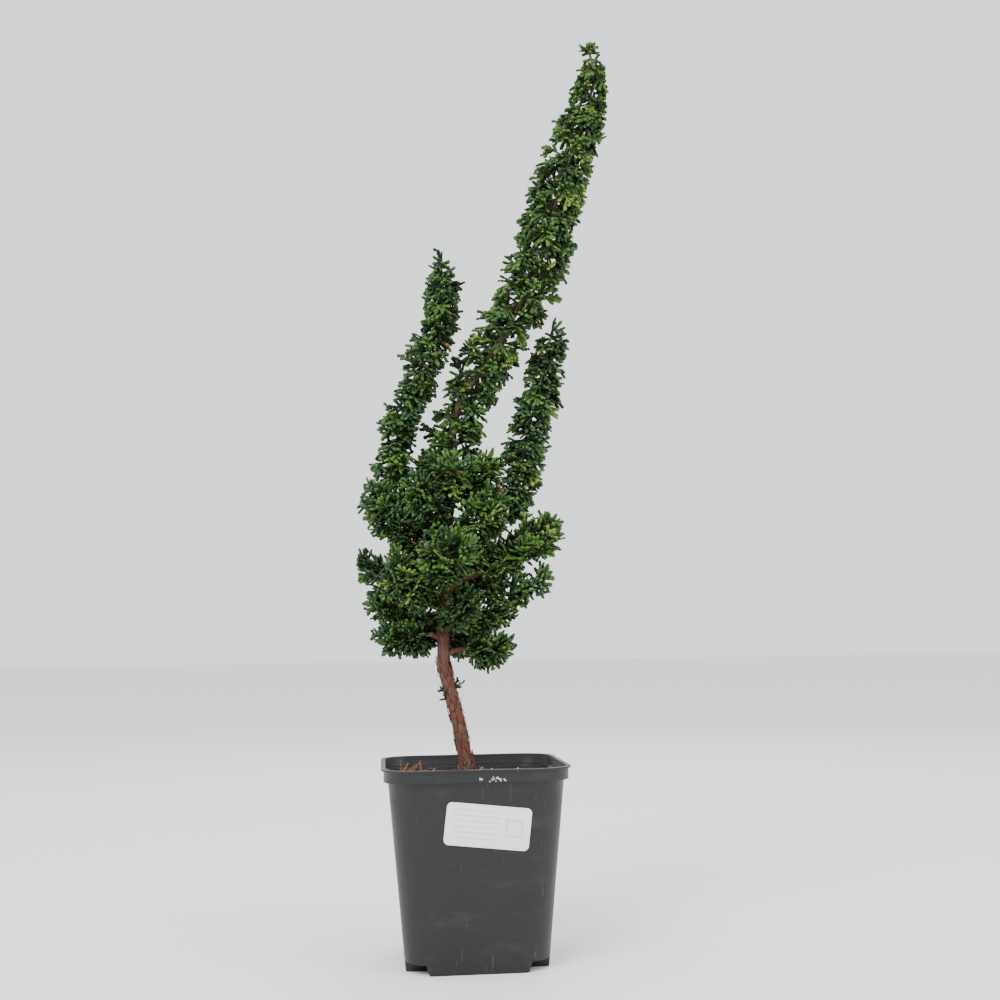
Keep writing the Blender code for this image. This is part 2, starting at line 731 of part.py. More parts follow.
def main():
    clear_scene()
    make_pot()
    make_soil()
    make_label()
    limbs = {"trunk": trunk_limb()}
    for bough in BOUGHS:
        limbs[bough.name] = bough_limb(bough, limbs["trunk"])
    for name, limb in limbs.items():
        sides = TRUNK_SIDES if name == "trunk" else BOUGH_SIDES
        new_object(name, *tube_shape(*limb, sides, level_foot=name == "trunk"), BARK)
    branches = {mass.name: crown_branch(mass, limbs) for mass in MASSES}
    branches["left_leader"] = leader_stem("bough_left_leader", limbs, LEFT_LEADER, LEFT_REACH)
    branches["right_leader"] = leader_stem("bough_right_leader", limbs, RIGHT_LEADER, RIGHT_REACH)
    branches |= leader_branches(limbs["trunk"])
    branches["leader_tip"] = tip_branch(limbs["trunk"])
    habits = {mass.name: DENSE if mass.core else OPEN for mass in MASSES}
    for seed, name in enumerate(branches, FIRST_SEED):
        habit = habits.get(name, LEADER if name.startswith(("left", "right")) else OPEN)
        fuse(name, grow(name, branches, limbs, seed, habit), FOLIAGE)


main()
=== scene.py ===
"""Looks of the sekka hinoki cypress bonsai in its square nursery pot.

Metres, +Z up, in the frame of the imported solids. The foliage grows on the same stems and in
the same rooms as the solids' and by a like rule, with more and finer twigs.
"""

import math
from typing import NamedTuple

import bpy
import numpy as np
from bpy.props import FloatProperty, FloatVectorProperty, IntProperty, PointerProperty
from mathutils import Matrix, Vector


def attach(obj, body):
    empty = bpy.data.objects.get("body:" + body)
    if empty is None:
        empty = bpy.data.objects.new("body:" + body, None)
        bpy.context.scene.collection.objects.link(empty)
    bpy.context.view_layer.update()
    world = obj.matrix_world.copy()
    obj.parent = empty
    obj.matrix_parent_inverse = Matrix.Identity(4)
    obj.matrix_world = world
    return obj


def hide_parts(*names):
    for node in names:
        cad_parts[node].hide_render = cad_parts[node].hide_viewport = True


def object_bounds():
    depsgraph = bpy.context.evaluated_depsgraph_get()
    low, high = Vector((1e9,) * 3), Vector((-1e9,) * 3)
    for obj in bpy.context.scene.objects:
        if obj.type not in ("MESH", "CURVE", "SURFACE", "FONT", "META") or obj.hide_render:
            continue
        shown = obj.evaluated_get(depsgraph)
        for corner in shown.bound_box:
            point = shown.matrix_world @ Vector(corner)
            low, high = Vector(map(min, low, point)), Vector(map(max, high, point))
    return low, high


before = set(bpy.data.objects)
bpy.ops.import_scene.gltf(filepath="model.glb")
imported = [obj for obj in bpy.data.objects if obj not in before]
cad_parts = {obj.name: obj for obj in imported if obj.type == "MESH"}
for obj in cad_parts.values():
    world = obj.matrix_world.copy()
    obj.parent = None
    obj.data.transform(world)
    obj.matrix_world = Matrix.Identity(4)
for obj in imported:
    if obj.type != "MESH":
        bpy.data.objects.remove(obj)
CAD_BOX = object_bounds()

bl_info = {
    "name": "Hinoki bonsai in a nursery pot",
    "version": (1, 0, 0),
    "blender": (4, 5, 0),
    "location": "View3D > Sidebar > Bonsai",
    "description": "Pot, soil, sticker, bark and sprays of foliage of a potted conifer",
    "category": "Add Mesh",
}

MM = 0.001
UP = np.array([0, 0, 1.0])

# Pot and soil, as in the solids
RIM_SIDE = 110 * MM
LIP_THICKNESS = 1.2 * MM
BAND_SIDE = 107 * MM
BAND_HEIGHT = 7.5 * MM
WALL_TOP_SIDE = 102 * MM
WALL_BASE_SIDE = 82.5 * MM
POT_HEIGHT = 114 * MM
WALL = 1.2 * MM
RIM_CORNER = 20 * MM
TOP_CORNER = 18 * MM
BASE_CORNER = 16 * MM
FOOT_HEIGHT = 6 * MM
FOOT_HALF_AT_GROUND = 28.5 * MM
FOOT_HALF_AT_TOP = 30 * MM
SHOULDER = POT_HEIGHT - BAND_HEIGHT
LIP = POT_HEIGHT - LIP_THICKNESS
SOIL_TOP = 104 * MM
LABEL_SIZE = np.array([48.5, 24]) * MM
LABEL_CORNER = 3 * MM
LABEL_CENTRE = (5 * MM, 82 * MM)
LABEL_TURN = math.radians(-6.2)

# Where the pot's inner wall ends and the soil's side begins, both hidden by the soil, the
# rings of the soil's top and its rise round the stem
POT_FLOOR = 8 * MM
SOIL_FOOT = 88 * MM
SOIL_RINGS = 44
MOUND_HEIGHT = 1.2 * MM
MOUND_REACH = 14 * MM
# Patches of lime under the rim, in mm: their middle, their spread and how many flecks
LIME_PATCHES = (
    ((1, 0, 108.9), (0.8, 0, 0.7), 6),
    ((12, 0, 108.6), (3.2, 0, 0.8), 20),
)
# Box in which the standing shreds start, in mm, near the left wall
STANDING_FROM = (-46, -24, 104)
STANDING_TO = (-30, 20, 105)
# Dark and light tones of what lies on the pot and its soil
LIME_TONES = ((0.42, 0.42, 0.40), (0.68, 0.67, 0.64))
STONE_TONES = ((0.3, 0.28, 0.25), (0.6, 0.58, 0.54))
MOSS_TONES = ((0.03, 0.045, 0.012), (0.12, 0.12, 0.04))
SHRED_TONES = ((0.11, 0.04, 0.02), (0.30, 0.13, 0.07))
ROOT_TONES = ((0.015, 0.009, 0.006), (0.07, 0.04, 0.025))
# Print of the sticker, in mm: step of its lines, their shift and thickness as shares of it,
# and left, right, low and high edge of the lines and of the empty box
LINE_STEP = 3.1
LINE_SHIFT = 0.35
LINE_SHARE = 0.09
LINES_EDGES = (-20, 7, -9, 9)
BOX_OUTER_EDGES = (10.4, 19.6, -4.6, 4.6)
BOX_INNER_EDGES = (10.8, 19.2, -4.2, 4.2)

# Stem and leaders, as in the solids
CLEAR = 0.3 * MM
JOINT_GAP = 1.1 * MM
TRUNK_POINTS = np.array([
    (-2.5, 0, 104.3), (-6, 0.5, 128), (-12, 1, 154), (-16.5, 1.5, 174), (-16.5, 2, 212),
    (-13.5, 2, 255), (-11, 1, 298), (-7, -1, 331), (13, -3, 362), (33, -4, 397),
    (49, -4, 432), (62, -3, 481), (77, -1, 522), (86, 0, 553), (83.5, 0, 570),
]) * MM
TRUNK_HEIGHTS = np.array([104.3, 110, 124, 182, 240, 300, 362, 432, 522, 570]) * MM
TRUNK_RADII = np.array([5.4, 4.6, 4.0, 3.9, 3.3, 2.6, 2.0, 1.5, 1.0, 0.8]) * MM
LEADER_FROM = 304 * MM
LEADER_TO = 558 * MM
LEADER_LATERALS = 17
LEADER_HEIGHTS = np.array([300, 345, 400, 450, 485, 515, 540, 556, 580]) * MM
LEADER_REACH = np.array([20, 19, 21, 20.5, 18.5, 15.5, 12, 8, 7]) * MM
LATERAL_SHARE = 0.4
TIP_DIRECTION = np.array([-0.28, 0.0, 1.0])
TIP_LENGTH = 3 * MM
LATERAL_LEAN = math.radians(72)
LEFT_LEADER = np.array([
    (-45, 2, 290), (-46, 1, 300), (-43, -1, 318), (-31, -3, 351), (-19, -3, 381),
    (-15, -2, 408), (-16.5, -1, 428),
]) * MM
LEFT_REACH = np.array([18, 18, 16, 16, 14, 10.5, 7]) * MM
RIGHT_LEADER = np.array([
    (28.5, 6.5, 273), (32.5, 5, 285), (36, 3, 309), (42.5, 1, 334), (49, 0, 359),
    (54, 0, 380),
]) * MM
RIGHT_REACH = np.array([12, 15.5, 16, 17, 13, 9]) * MM

# How many side branches of the tall leader grow here for each one of the solids, and how far
# they go on past the last of those
LEADER_FINER = 4
LEADER_PAST = 9 * MM

# Bark: spacing of its rings, and how many of them an average takes to round the bends
BARK_STEP = 0.9 * MM
BARK_ROUNDING = 7
# Its ridges round the limb, the climb that counts as one radius in its waves, and how deep
# the furrows are at three heights, as a share of their depth at the foot
RIDGES = 7
WAVE_CLIMB = 9 * MM
FURROW_HEIGHTS = np.array([120, 260, 420]) * MM
FURROW_DEPTHS = (1, 0.6, 0.18)
# Lobes of the stem's foot, as a share of its radius, and how far up they fade
LOBES = 4
LOBE_SHARE = 0.16
FLARE_HEIGHT = 12 * MM
# Top of the lifted flakes, and the heights between which bark turns to young wood
FLAKES_TO = 300 * MM
YOUNG_WOOD = (270 * MM, 400 * MM)

# The rule of growth, as in the solids
FIRST_SEED = 100
GOLDEN_TURN = math.radians(137.5)
STEM_RADIUS = 1.1 * MM
TWIG_RADIUS = 0.8 * MM
TWIG_STEP = 4 * MM
DENSE_TWIG_STEP = 4.1 * MM
LEADER_TWIG_STEP = 3.2 * MM
FEWEST_TWIGS = 5
FIRST_LEAN = math.radians(100)
LAST_LEAN = math.radians(38)
LEADER_LEAN = math.radians(72)
TWIG_DROOP = 0.3
LONGEST_TWIG = 34 * MM
FREE_START = 4 * MM

# What is too short to grow here
SHORTEST_TWIG = 3 * MM
SHORTEST_SPRAY = 4 * MM
SHORTEST_CUT = 3 * MM

# Fingers of a spray: their spacing, and the length of those at its sides, which is the first
# value and a share of the spray that is left beyond their roots
FINGER_STEP = 2.3 * MM
SIDE_FINGER = 3.4 * MM
SIDE_FINGER_SHARE = 0.58
# Where the rings of a finger stand along it, and how wide they are. The wavy width stands
# for the scale leaves
FINGER_RINGS = np.array([0, 0.27, 0.5, 0.76, 0.96])
FINGER_WIDTHS = np.array([0.6, 1.06, 0.8, 1.08, 0.84])
FINGER_FLATNESS = 0.62
FINGER_TWIST = 0.35
# Two triangles on each of four sides between rings, and four at each end
FINGER_TRIANGLES = 8 * len(FINGER_RINGS)
MOST_TRIANGLES = 190_000
BOX_MARGIN = 1.2 * MM

# Tufts on the bare stem: height in mm and heading in degrees
SPROUTS = ((157, -10), (159, 30), (154, 190), (151, 215), (163, 120))

# The photograph's camera, solved from the pot's rim and foot: where it stands, which way it
# looks, and its angles in radians
FOCAL_PIXELS = 1211.785
PHOTO_PIXELS = 1000
SENSOR_MM = 36
CAMERA_PLACE = (-0.05484, -0.74690, 0.17796)
CAMERA_VIEW = (0.09817, 0.98708, 0.12661)
CAMERA_YAW = 0.09913
CAMERA_PITCH = -0.12695
CAMERA_ROLL = -0.01504

# Lamps: name, place, size and the setting with its power
LAMPS = (
    ("key", (-0.9, -1.2, 1.5), 1.1, "key"),
    ("fill", (1.3, -0.9, 0.8), 1.2, "fill"),
    ("rear", (0.3, 1.3, 1.4), 1.0, "fill"),
)
LIT_POINT = np.array([0, 0, 0.28])
FLOOR_RADII = np.geomspace(40, 0.2, 24)
FLOOR_AROUND = 96


class Bough(NamedTuple):
    """A limb that leaves the stem at a height, and carries one mass at its tip."""

    name: str
    height: float
    tip: tuple
    radius: float


class Mass(NamedTuple):
    """A branch of foliage. heading is 0 to the right and 90 to the back, in degrees."""

    name: str
    limb: str
    height: float
    heading: float
    rise: float
    length: float
    reach: float
    core: bool


BOUGHS = [
    Bough("bough_low_right", 177, (-1, -2, 182), 1.6),
    Bough("bough_low_left", 187, (-29, -3, 191), 1.7),
    Bough("bough_right", 214, (7, -4, 228), 2.0),
    Bough("bough_front", 222, (-17, -17, 229), 1.8),
    Bough("bough_back", 228, (-12, 20, 238), 1.8),
    Bough("bough_left_leader", 238, (-40.5, 3.5, 279), 2.2),
    Bough("bough_right_leader", 244, (24, 7.5, 260.5), 2.0),
]

MASSES = [
    Mass("low_right", "bough_low_right", 0, -8, -6, 15, 14, True),
    Mass("low_left", "bough_low_left", 0, 185, -8, 17, 15, True),
    Mass("low_back_left", "trunk", 191, 125, 4, 28, 18, True),
    Mass("low_back_right", "trunk", 189, 55, 6, 29, 18, True),
    Mass("low_front", "trunk", 200, 298, 10, 22, 15, True),
    Mass("left_low", "trunk", 202, 178, 6, 31, 16, True),
    Mass("right_low", "trunk", 194, -5, 16, 28, 19, True),
    Mass("left_spray", "trunk", 208, 183, 24, 46, 10, False),
    Mass("right_spray", "trunk", 203, -12, 13, 56, 11, False),
    Mass("front_left", "trunk", 212, 226, 16, 32, 20, True),
    Mass("back_left", "trunk", 212, 140, 18, 36, 22, True),
    Mass("back_right", "trunk", 216, 42, 20, 38, 22, True),
    Mass("front_main", "bough_front", 0, 270, 16, 22, 22, True),
    Mass("right_main", "bough_right", 0, -6, 28, 40, 20, True),
    Mass("back_main", "bough_back", 0, 88, 24, 24, 22, True),
    Mass("left_mid", "trunk", 229, 198, 44, 50, 18, True),
    Mass("front_right", "trunk", 238, 318, 34, 36, 20, True),
    Mass("front_upper", "trunk", 246, 232, 46, 32, 20, True),
    Mass("back_upper", "trunk", 248, 148, 42, 32, 20, True),
    Mass("head_front", "trunk", 266, 268, 44, 25, 19, True),
    Mass("head_right", "trunk", 268, -12, 48, 25, 17, True),
    Mass("head_back", "trunk", 274, 92, 42, 25, 19, True),
    Mass("head_left", "trunk", 282, 168, 50, 12, 13, True),
]

# Tints of the sprays, each also the name of the setting that holds its colour
# The shade tint is painted shade, and the two lightest tints are partly painted light
TINTS = ("shade", "green", "blue", "fresh", "bright", "brown")
# How the tints are dealt out: their weights for a spray deep inside and one at the outside,
# and what some masses multiply them by
# The shade tint is painted shade: it leads for a spray deep inside, while green and the lighter
# tints lead outside
INNER_WEIGHTS = np.array([6.0, 3.0, 0.6, 0.2, 0.0, 0.15])
OUTER_WEIGHTS = np.array([1.6, 5.0, 0.9, 2.0, 0.45, 0.03])
BLUISH_TIMES = (1, 0.8, 3.5, 0.7, 0.5, 1)
# Painted light: the sunny masses, which face the light, get more of the two lightest tints and
# less of the shade and bluish ones
SUNNY_TIMES = (0.8, 0.9, 0.4, 1.8, 2.2, 1)
LEADER_TIMES = np.array([0.8, 1, 0.7, 1.6, 1.9, 0.25])
# On the low masses under the crown: more of the painted shade tint, more dry sprays, and few of
# the two lightest tints
LOW_PAINTED_SHADE_AND_DRY_TIMES = (2.2, 1.2, 0.8, 0.3, 0.1, 1.5)
# What the two youngest tints gain on the tall leader, from a height on and over a climb
YOUNG_GAIN = np.array([0, 0, 0, 4, 4, 0])
YOUNG_FROM = 500 * MM
YOUNG_CLIMB = 70 * MM
# A finger's outer end is lighter than the rest: its colour times the first, plus the second
TIP_TIMES = (1.35, 1.25, 1.15)
TIP_PLUS = (0.006, 0.012, 0.001)
BLUISH = {"left_spray", "left_leader", "right_leader", "left_mid", "right_spray"}
# Masses whose sprays get painted light
SUNNY = {"front_main", "front_right", "head_front", "right_main", "head_right"}


class Limb(NamedTuple):
    """A tapering tube: points along its middle and the radius at each."""

    points: np.ndarray
    radii: np.ndarray


class Space(NamedTuple):
    """The room a mass may fill: all that lies within radii of a line."""

    points: np.ndarray
    radii: np.ndarray


class Habit(NamedTuple):
    """How a mass branches: its twigs' spacing and lean, how many twigs grow here for each one
    of the solids, how far they droop, how stout their fingers are, and the least share of its
    room that a twig takes."""

    step: float
    leans: tuple
    finer: float
    droop: float
    stoutness: float
    least: float


OPEN = Habit(TWIG_STEP, (FIRST_LEAN, LAST_LEAN), 3.4, TWIG_DROOP, 1.1, 0.62)
LEADER = Habit(LEADER_TWIG_STEP, (LEADER_LEAN, LEADER_LEAN), 2.3, 0.6, 1.22, 0.62)
DENSE = Habit(DENSE_TWIG_STEP, (FIRST_LEAN, LAST_LEAN), 5.6, TWIG_DROOP, 1.0, 0.7)
SHOOT = Habit(TWIG_STEP, (FIRST_LEAN, LAST_LEAN), 0.6, 0.6, 1.22, 0.62)


# Lines and limbs


def unit(vector):
    """Vectors of length one, along the last axis."""
    return vector / np.linalg.norm(vector, axis=-1, keepdims=True)


def smooth_path(points, per_span):
    """Catmull-Rom curve through the points: each span is the cubic of its four neighbours."""
    padded = np.vstack([2 * points[0] - points[1], points, 2 * points[-1] - points[-2]])
    steps = np.linspace(0, 1, per_span, endpoint=False)[:, None]
    spans = []
    for a, b, c, d in zip(padded, padded[1:], padded[2:], padded[3:]):
        spans.append(0.5 * (
            2 * b + (c - a) * steps + (2 * a - 5 * b + 4 * c - d) * steps**2
            + (3 * b - a - 3 * c + d) * steps**3
        ))
    return np.vstack([*spans, points[-1:]])


def length_marks(points):
    """How far along a line each of its points lies."""
    return np.concatenate([[0], np.cumsum(np.linalg.norm(np.diff(points, axis=0), axis=1))])


def along(points, share):
    """Point and direction at a share of a line's length."""
    marks = length_marks(points)
    lengths = np.linalg.norm(np.diff(points, axis=0), axis=1)
    here = share * marks[-1]
    span = min(np.searchsorted(marks, here, side="right") - 1, len(lengths) - 1)
    direction = (points[span + 1] - points[span]) / lengths[span]
    return points[span] + direction * (here - marks[span]), direction


def at_height(points, height):
    """Point and direction of a rising line at a height."""
    span = int(np.clip(np.searchsorted(points[:, 2], height) - 1, 0, len(points) - 2))
    low, high = points[span], points[span + 1]
    share = (height - low[2]) / (high[2] - low[2])
    return low + (high - low) * share, unit(high - low)


def distances(samples, starts, stretches):
    """Distance of every sample to every straight stretch."""
    offset = samples[:, None] - starts
    share = (offset * stretches).sum(2) / (stretches**2).sum(1)
    share = np.clip(share, 0, 1)[..., None]
    return np.linalg.norm(offset - share * stretches, axis=2)


def stretch_radii(radii):
    """The larger end radius of each stretch of a tube."""
    return np.maximum(radii[:-1], radii[1:])


def side_vectors(direction, turn):
    """Two unit vectors square to a direction, the first turned about it from level."""
    reference = UP if abs(direction[2]) < 0.9 else np.array([1.0, 0, 0])
    level = unit(np.cross(reference, direction))
    upright = np.cross(direction, level)
    first = math.cos(turn) * level + math.sin(turn) * upright
    return first, np.cross(direction, first)


def trunk_limb():
    """The stem: a smooth line through its points, with its radii by height."""
    points = smooth_path(TRUNK_POINTS, 2)
    return Limb(points, np.interp(points[:, 2], TRUNK_HEIGHTS, TRUNK_RADII))


def clear_start(foot, direction, radius, limb):
    """The nearest point along a direction at which a round end clears a limb's bark."""
    first, second = side_vectors(direction, 0)
    turns = np.linspace(0, 2 * math.pi, 12, endpoint=False)[:, None]
    ring = radius * (np.cos(turns) * first + np.sin(turns) * second)
    starts, stretches = limb.points[:-1], np.diff(limb.points, axis=0)
    start = foot.copy()
    while (distances(start + ring, starts, stretches) - stretch_radii(limb.radii)).min() < CLEAR:
        start = start + direction * 0.05 * MM
    return start


def bough_limb(bough, trunk):
    """A bough that lifts in an even curve from the stem's bark to its tip."""
    foot, _ = at_height(trunk.points, bough.height * MM)
    tip = np.array(bough.tip) * MM
    middle = (foot + tip) / 2 + 0.12 * np.linalg.norm(tip - foot) * UP
    radius = bough.radius * MM
    start = clear_start(foot, unit(middle - foot), radius, trunk)
    points = smooth_path(np.array([start, (middle + start * 0.2) / 1.2, tip]), 3)
    return Limb(points, np.linspace(radius, 0.7 * radius, len(points)))


def all_limbs():
    """The stem and the boughs, by name."""
    limbs = {"trunk": trunk_limb()}
    for bough in BOUGHS:
        limbs[bough.name] = bough_limb(bough, limbs["trunk"])
    return limbs


# Stems and rooms of the masses


def heading_vector(heading, rise):
    """Unit vector of a heading and a rise above level, both in degrees."""
    heading, rise = math.radians(heading), math.radians(rise)
    return np.array([
        math.cos(heading) * math.cos(rise),
        math.sin(heading) * math.cos(rise),
        math.sin(rise),
    ])


def crown_branch(mass, limbs):
    """Stem and space of a crown mass. The stem bends up a little towards its tip."""
    direction = heading_vector(mass.heading, mass.rise)
    length = mass.length * MM
    if mass.limb == "trunk":
        foot, _ = at_height(limbs["trunk"].points, mass.height * MM)
        start = clear_start(foot, direction, STEM_RADIUS, limbs["trunk"])
    else:
        start = limbs[mass.limb].points[-1] + direction * CLEAR
    shares = np.linspace(0, 1, 6)[:, None]
    stem = start + direction * shares * length + 0.10 * length * UP * shares**2
    return stem, Space(stem, mass.reach * MM * np.array([0.55, 0.85, 1.0, 1.05, 1.0, 0.8]))


def leader_branches(trunk):
    """Side branches of the tall leader, spaced evenly and turned by the golden angle. There
    are several here for each one of the solids."""
    top = LEADER_TO + LEADER_PAST
    heights = np.linspace(LEADER_FROM, top, LEADER_LATERALS * LEADER_FINER)
    reach_at = np.interp(trunk.points[:, 2], LEADER_HEIGHTS, LEADER_REACH)
    on_leader = trunk.points[:, 2] > LEADER_FROM - 15 * MM
    space = Space(trunk.points[on_leader], reach_at[on_leader])
    shares = np.linspace(0, 1, 4)[:, None]
    branches = {}
    for number, height in enumerate(heights):
        foot, up = at_height(trunk.points, height)
        out, _ = side_vectors(up, number * GOLDEN_TURN)
        direction = math.cos(LATERAL_LEAN) * up + math.sin(LATERAL_LEAN) * out
        start = clear_start(foot, direction, STEM_RADIUS, trunk)
        length = LATERAL_SHARE * np.interp(height, LEADER_HEIGHTS, LEADER_REACH)
        branches[f"leader_{number + 1:02d}"] = (start + direction * shares * length, space)
    return branches


def leader_stem(name, limbs, points, reach):
    """Stem and space of a lesser leader, from the tip of its bough to its own tip."""
    tip = limbs[name].points[-1]
    start = tip + JOINT_GAP * unit(points[0] - tip)
    return smooth_path(np.vstack([start, points]), 2), Space(points, reach)


def tip_branch(trunk):
    """The last shoot, which goes on from the end of the stem."""
    direction = unit(TIP_DIRECTION)
    start = trunk.points[-1] + direction * CLEAR
    stem = start + direction * np.linspace(0, 1, 3)[:, None] * TIP_LENGTH
    return stem, Space(stem, np.array([6, 6, 5]) * MM)


def all_branches(limbs):
    """Every mass by name, in the order that gives its seed: its stem, space and habit."""
    branches = {
        mass.name: (*crown_branch(mass, limbs), DENSE if mass.core else OPEN)
        for mass in MASSES
    }
    left = leader_stem("bough_left_leader", limbs, LEFT_LEADER, LEFT_REACH)
    right = leader_stem("bough_right_leader", limbs, RIGHT_LEADER, RIGHT_REACH)
    branches["left_leader"] = (*left, LEADER)
    branches["right_leader"] = (*right, LEADER)
    for name, branch in leader_branches(limbs["trunk"]).items():
        branches[name] = (*branch, SHOOT)
    branches["leader_tip"] = (*tip_branch(limbs["trunk"]), OPEN)
    return branches


def room_test(name, branches, limbs):
    """A test of which points lie in a mass's own room: inside its space, nearer to its own
    stem than to any other, and clear of every limb."""
    stem, space, _ = branches[name]
    others = [
        other for key, (other, other_space, _) in branches.items()
        if key != name and other_space is not space
    ]
    other_starts = np.vstack([other[:-1] for other in others])
    other_stretches = np.vstack([np.diff(other, axis=0) for other in others])
    limb_starts = np.vstack([limb.points[:-1] for limb in limbs.values()])
    limb_stretches = np.vstack([np.diff(limb.points, axis=0) for limb in limbs.values()])
    limb_radii = np.concatenate([stretch_radii(limb.radii) for limb in limbs.values()])
    space_starts, space_stretches = space.points[:-1], np.diff(space.points, axis=0)
    space_radii = stretch_radii(space.radii)

    def test(samples, margin):
        inside = (distances(samples, space_starts, space_stretches) <= space_radii).any(1)
        own = distances(samples, stem[:-1], np.diff(stem, axis=0)).min(1)
        nearest = distances(samples, other_starts, other_stretches).min(1)
        gap = (distances(samples, limb_starts, limb_stretches) - limb_radii).min(1)
        return inside & (nearest - own > 2 * margin + CLEAR) & (gap > margin + CLEAR)

    return test


# Growth


def free_run(foot, direction, longest, test):
    """How far a twig can run from its foot before it leaves its room. Its start is always
    let through."""
    steps = np.arange(1, int(longest / MM) + 1) * MM
    inside = test(foot + direction * steps[:, None], TWIG_RADIUS)
    inside |= steps < FREE_START
    return steps[-1] if inside.all() else steps[max(inside.argmin() - 1, 0)]


class Growth:
    """Twigs and fingers as they grow, kept as rows for the meshes that come after."""

    def __init__(self):
        self.twigs = []
        self.fingers = []

    def add_twig(self, start, end, first_radius, last_radius):
        self.twigs.append((start, end, first_radius, last_radius))

    def add_spray(self, root, direction, length, width, droop, tint, rng):
        """Fingers on both sides of a leading one. Finger k leaves the spray's axis at a
        share of its length, turned out by a lean, and is shorter towards the tip."""
        count = max(2, int(length / FINGER_STEP))
        across, _ = side_vectors(direction, rng.uniform(-0.9, 0.9))
        normal = np.cross(direction, across)
        shares = np.concatenate([[0], np.linspace(0.1, 0.78, count)])
        sides = np.concatenate([[0], np.where(np.arange(count) % 2, 1, -1)])
        lean = np.where(sides == 0, 0, rng.uniform(0.6, 1.05, count + 1))
        roll = rng.uniform(-0.6, 0.6, count + 1)
        out = sides[:, None] * (
            np.cos(roll)[:, None] * across + np.sin(roll)[:, None] * normal
        )
        aims = unit(
            np.cos(lean)[:, None] * direction + np.sin(lean)[:, None] * out
            + rng.normal(0, 0.06, (count + 1, 3))
        )
        at_sides = SIDE_FINGER + SIDE_FINGER_SHARE * length * (1 - shares)
        lengths = np.where(sides == 0, length, at_sides)
        lengths = lengths * rng.uniform(0.85, 1.1, count + 1)
        widths = width * rng.uniform(0.85, 1.12, count + 1)
        roots = root + direction * (shares * length)[:, None]
        flats = unit(np.cross(aims, normal + 0.3 * across * sides[:, None]))
        curl = rng.uniform(0.05, 0.37, count + 1) - 0.5 * droop
        for row in zip(roots, aims, flats, lengths, widths, curl):
            self.fingers.append((*row, tint))


def stem_twigs(stem, habit, count, rng):
    """Foot and direction of the twigs on a stem. They stand evenly along it, turned by the
    golden angle, and the first goes on from its tip."""
    twigs = [along(stem, 0.96)]
    for number in range(count):
        share = 0.04 + 0.95 * (number + 0.5) / count
        foot, tangent = along(stem, share)
        out, _ = side_vectors(tangent, number * GOLDEN_TURN + rng.uniform(-0.3, 0.3))
        lean = np.interp(share, (0, 1), habit.leans) + rng.uniform(-0.15, 0.15)
        direction = math.cos(lean) * tangent + math.sin(lean) * out
        twigs.append((foot, unit(direction - habit.droop * UP)))
    return twigs


def side_sprays(foot, direction, run, habit, settings, test, rng):
    """Root, aim and length of the sprays on a twig's sides, over a run of its length. They
    stand evenly along it, turned by the golden angle."""
    sprays = []
    for number in range(int(run / settings.side_step)):
        root = foot + direction * settings.side_step * (number + 0.7)
        out, _ = side_vectors(direction, number * GOLDEN_TURN + rng.uniform(0, 6.28))
        lean = rng.uniform(0.55, 1.0)
        aim = unit(math.cos(lean) * direction + math.sin(lean) * out - 0.5 * habit.droop * UP)
        free = free_run(root, aim, settings.spray_length, test)
        length = min(free, settings.spray_length * rng.uniform(0.5, 0.85))
        if length > SHORTEST_SPRAY:
            sprays.append((root, aim, length))
    return sprays


def grow(name, branch, test, seed, settings, growth):
    """One mass: its stem, the twigs on that, and sprays at each twig's end and sides."""
    stem, space, habit = branch
    rng = np.random.default_rng(seed)
    radii = np.linspace(1, 0.6, len(stem)) * STEM_RADIUS
    for start, end, first, last in zip(stem, stem[1:], radii, radii[1:]):
        growth.add_twig(start, end, first, last)
    length = np.linalg.norm(np.diff(stem, axis=0), axis=1).sum()
    count = round(max(FEWEST_TWIGS, length / habit.step) * habit.finer * settings.fullness)
    width = habit.stoutness * settings.finger_width
    for foot, direction in stem_twigs(stem, habit, count, rng):
        run = free_run(foot, direction, LONGEST_TWIG, test) * rng.uniform(habit.least, 1)
        if run < SHORTEST_TWIG:
            continue
        spray = min(settings.spray_length * rng.uniform(0.75, 1.1), run)
        end = foot + direction * (run - spray)
        if run - spray > 1 * MM:
            growth.add_twig(foot, end, TWIG_RADIUS * 0.8, TWIG_RADIUS * 0.5)
        sides = side_sprays(foot, direction, run - 0.4 * spray, habit, settings, test, rng)
        for root, aim, reach in [(end, direction, spray), *sides]:
            tint = choose_tint(name, root + aim * reach, stem, space, rng)
            growth.add_spray(root, aim, reach, width, habit.droop, tint, rng)


def add_sprouts(trunk, settings, growth):
    """Short tufts that stand on the bare stem, below the crown."""
    rng = np.random.default_rng(5)
    for height, heading in SPROUTS:
        foot, _ = at_height(trunk.points, height * MM)
        out = heading_vector(heading, 25)
        root = foot + out * 3.4 * MM
        width = 0.8 * settings.finger_width
        # The tufts below the crown take the tint of painted shade
        growth.add_spray(root, out, 4.5 * MM, width, 0, TINTS.index("shade"), rng)


def choose_tint(name, end, stem, space, rng):
    """A spray's tint: the weights run from those of the inside to those of the outside with
    the distance of its end from the stem, as a share of the mass's reach."""
    depth = distances(end[None], stem[:-1], np.diff(stem, axis=0)).min()
    share = np.clip(depth / space.radii.max(), 0, 1) ** 1.3
    weights = (1 - share) * INNER_WEIGHTS + share * OUTER_WEIGHTS
    if name in BLUISH:
        weights = weights * BLUISH_TIMES
    # Painted light on the masses that face the light
    if name in SUNNY:
        weights = weights * SUNNY_TIMES
    if name.startswith("leader"):
        young = np.clip((end[2] - YOUNG_FROM) / YOUNG_CLIMB, 0, 1)
        weights = weights * (LEADER_TIMES + YOUNG_GAIN * young)
    # Painted shade under the crown, and more dry sprays, on the low masses
    if name.startswith("low"):
        weights = weights * LOW_PAINTED_SHADE_AND_DRY_TIMES
    return rng.choice(len(TINTS), p=weights / weights.sum())


# Meshes from arrays


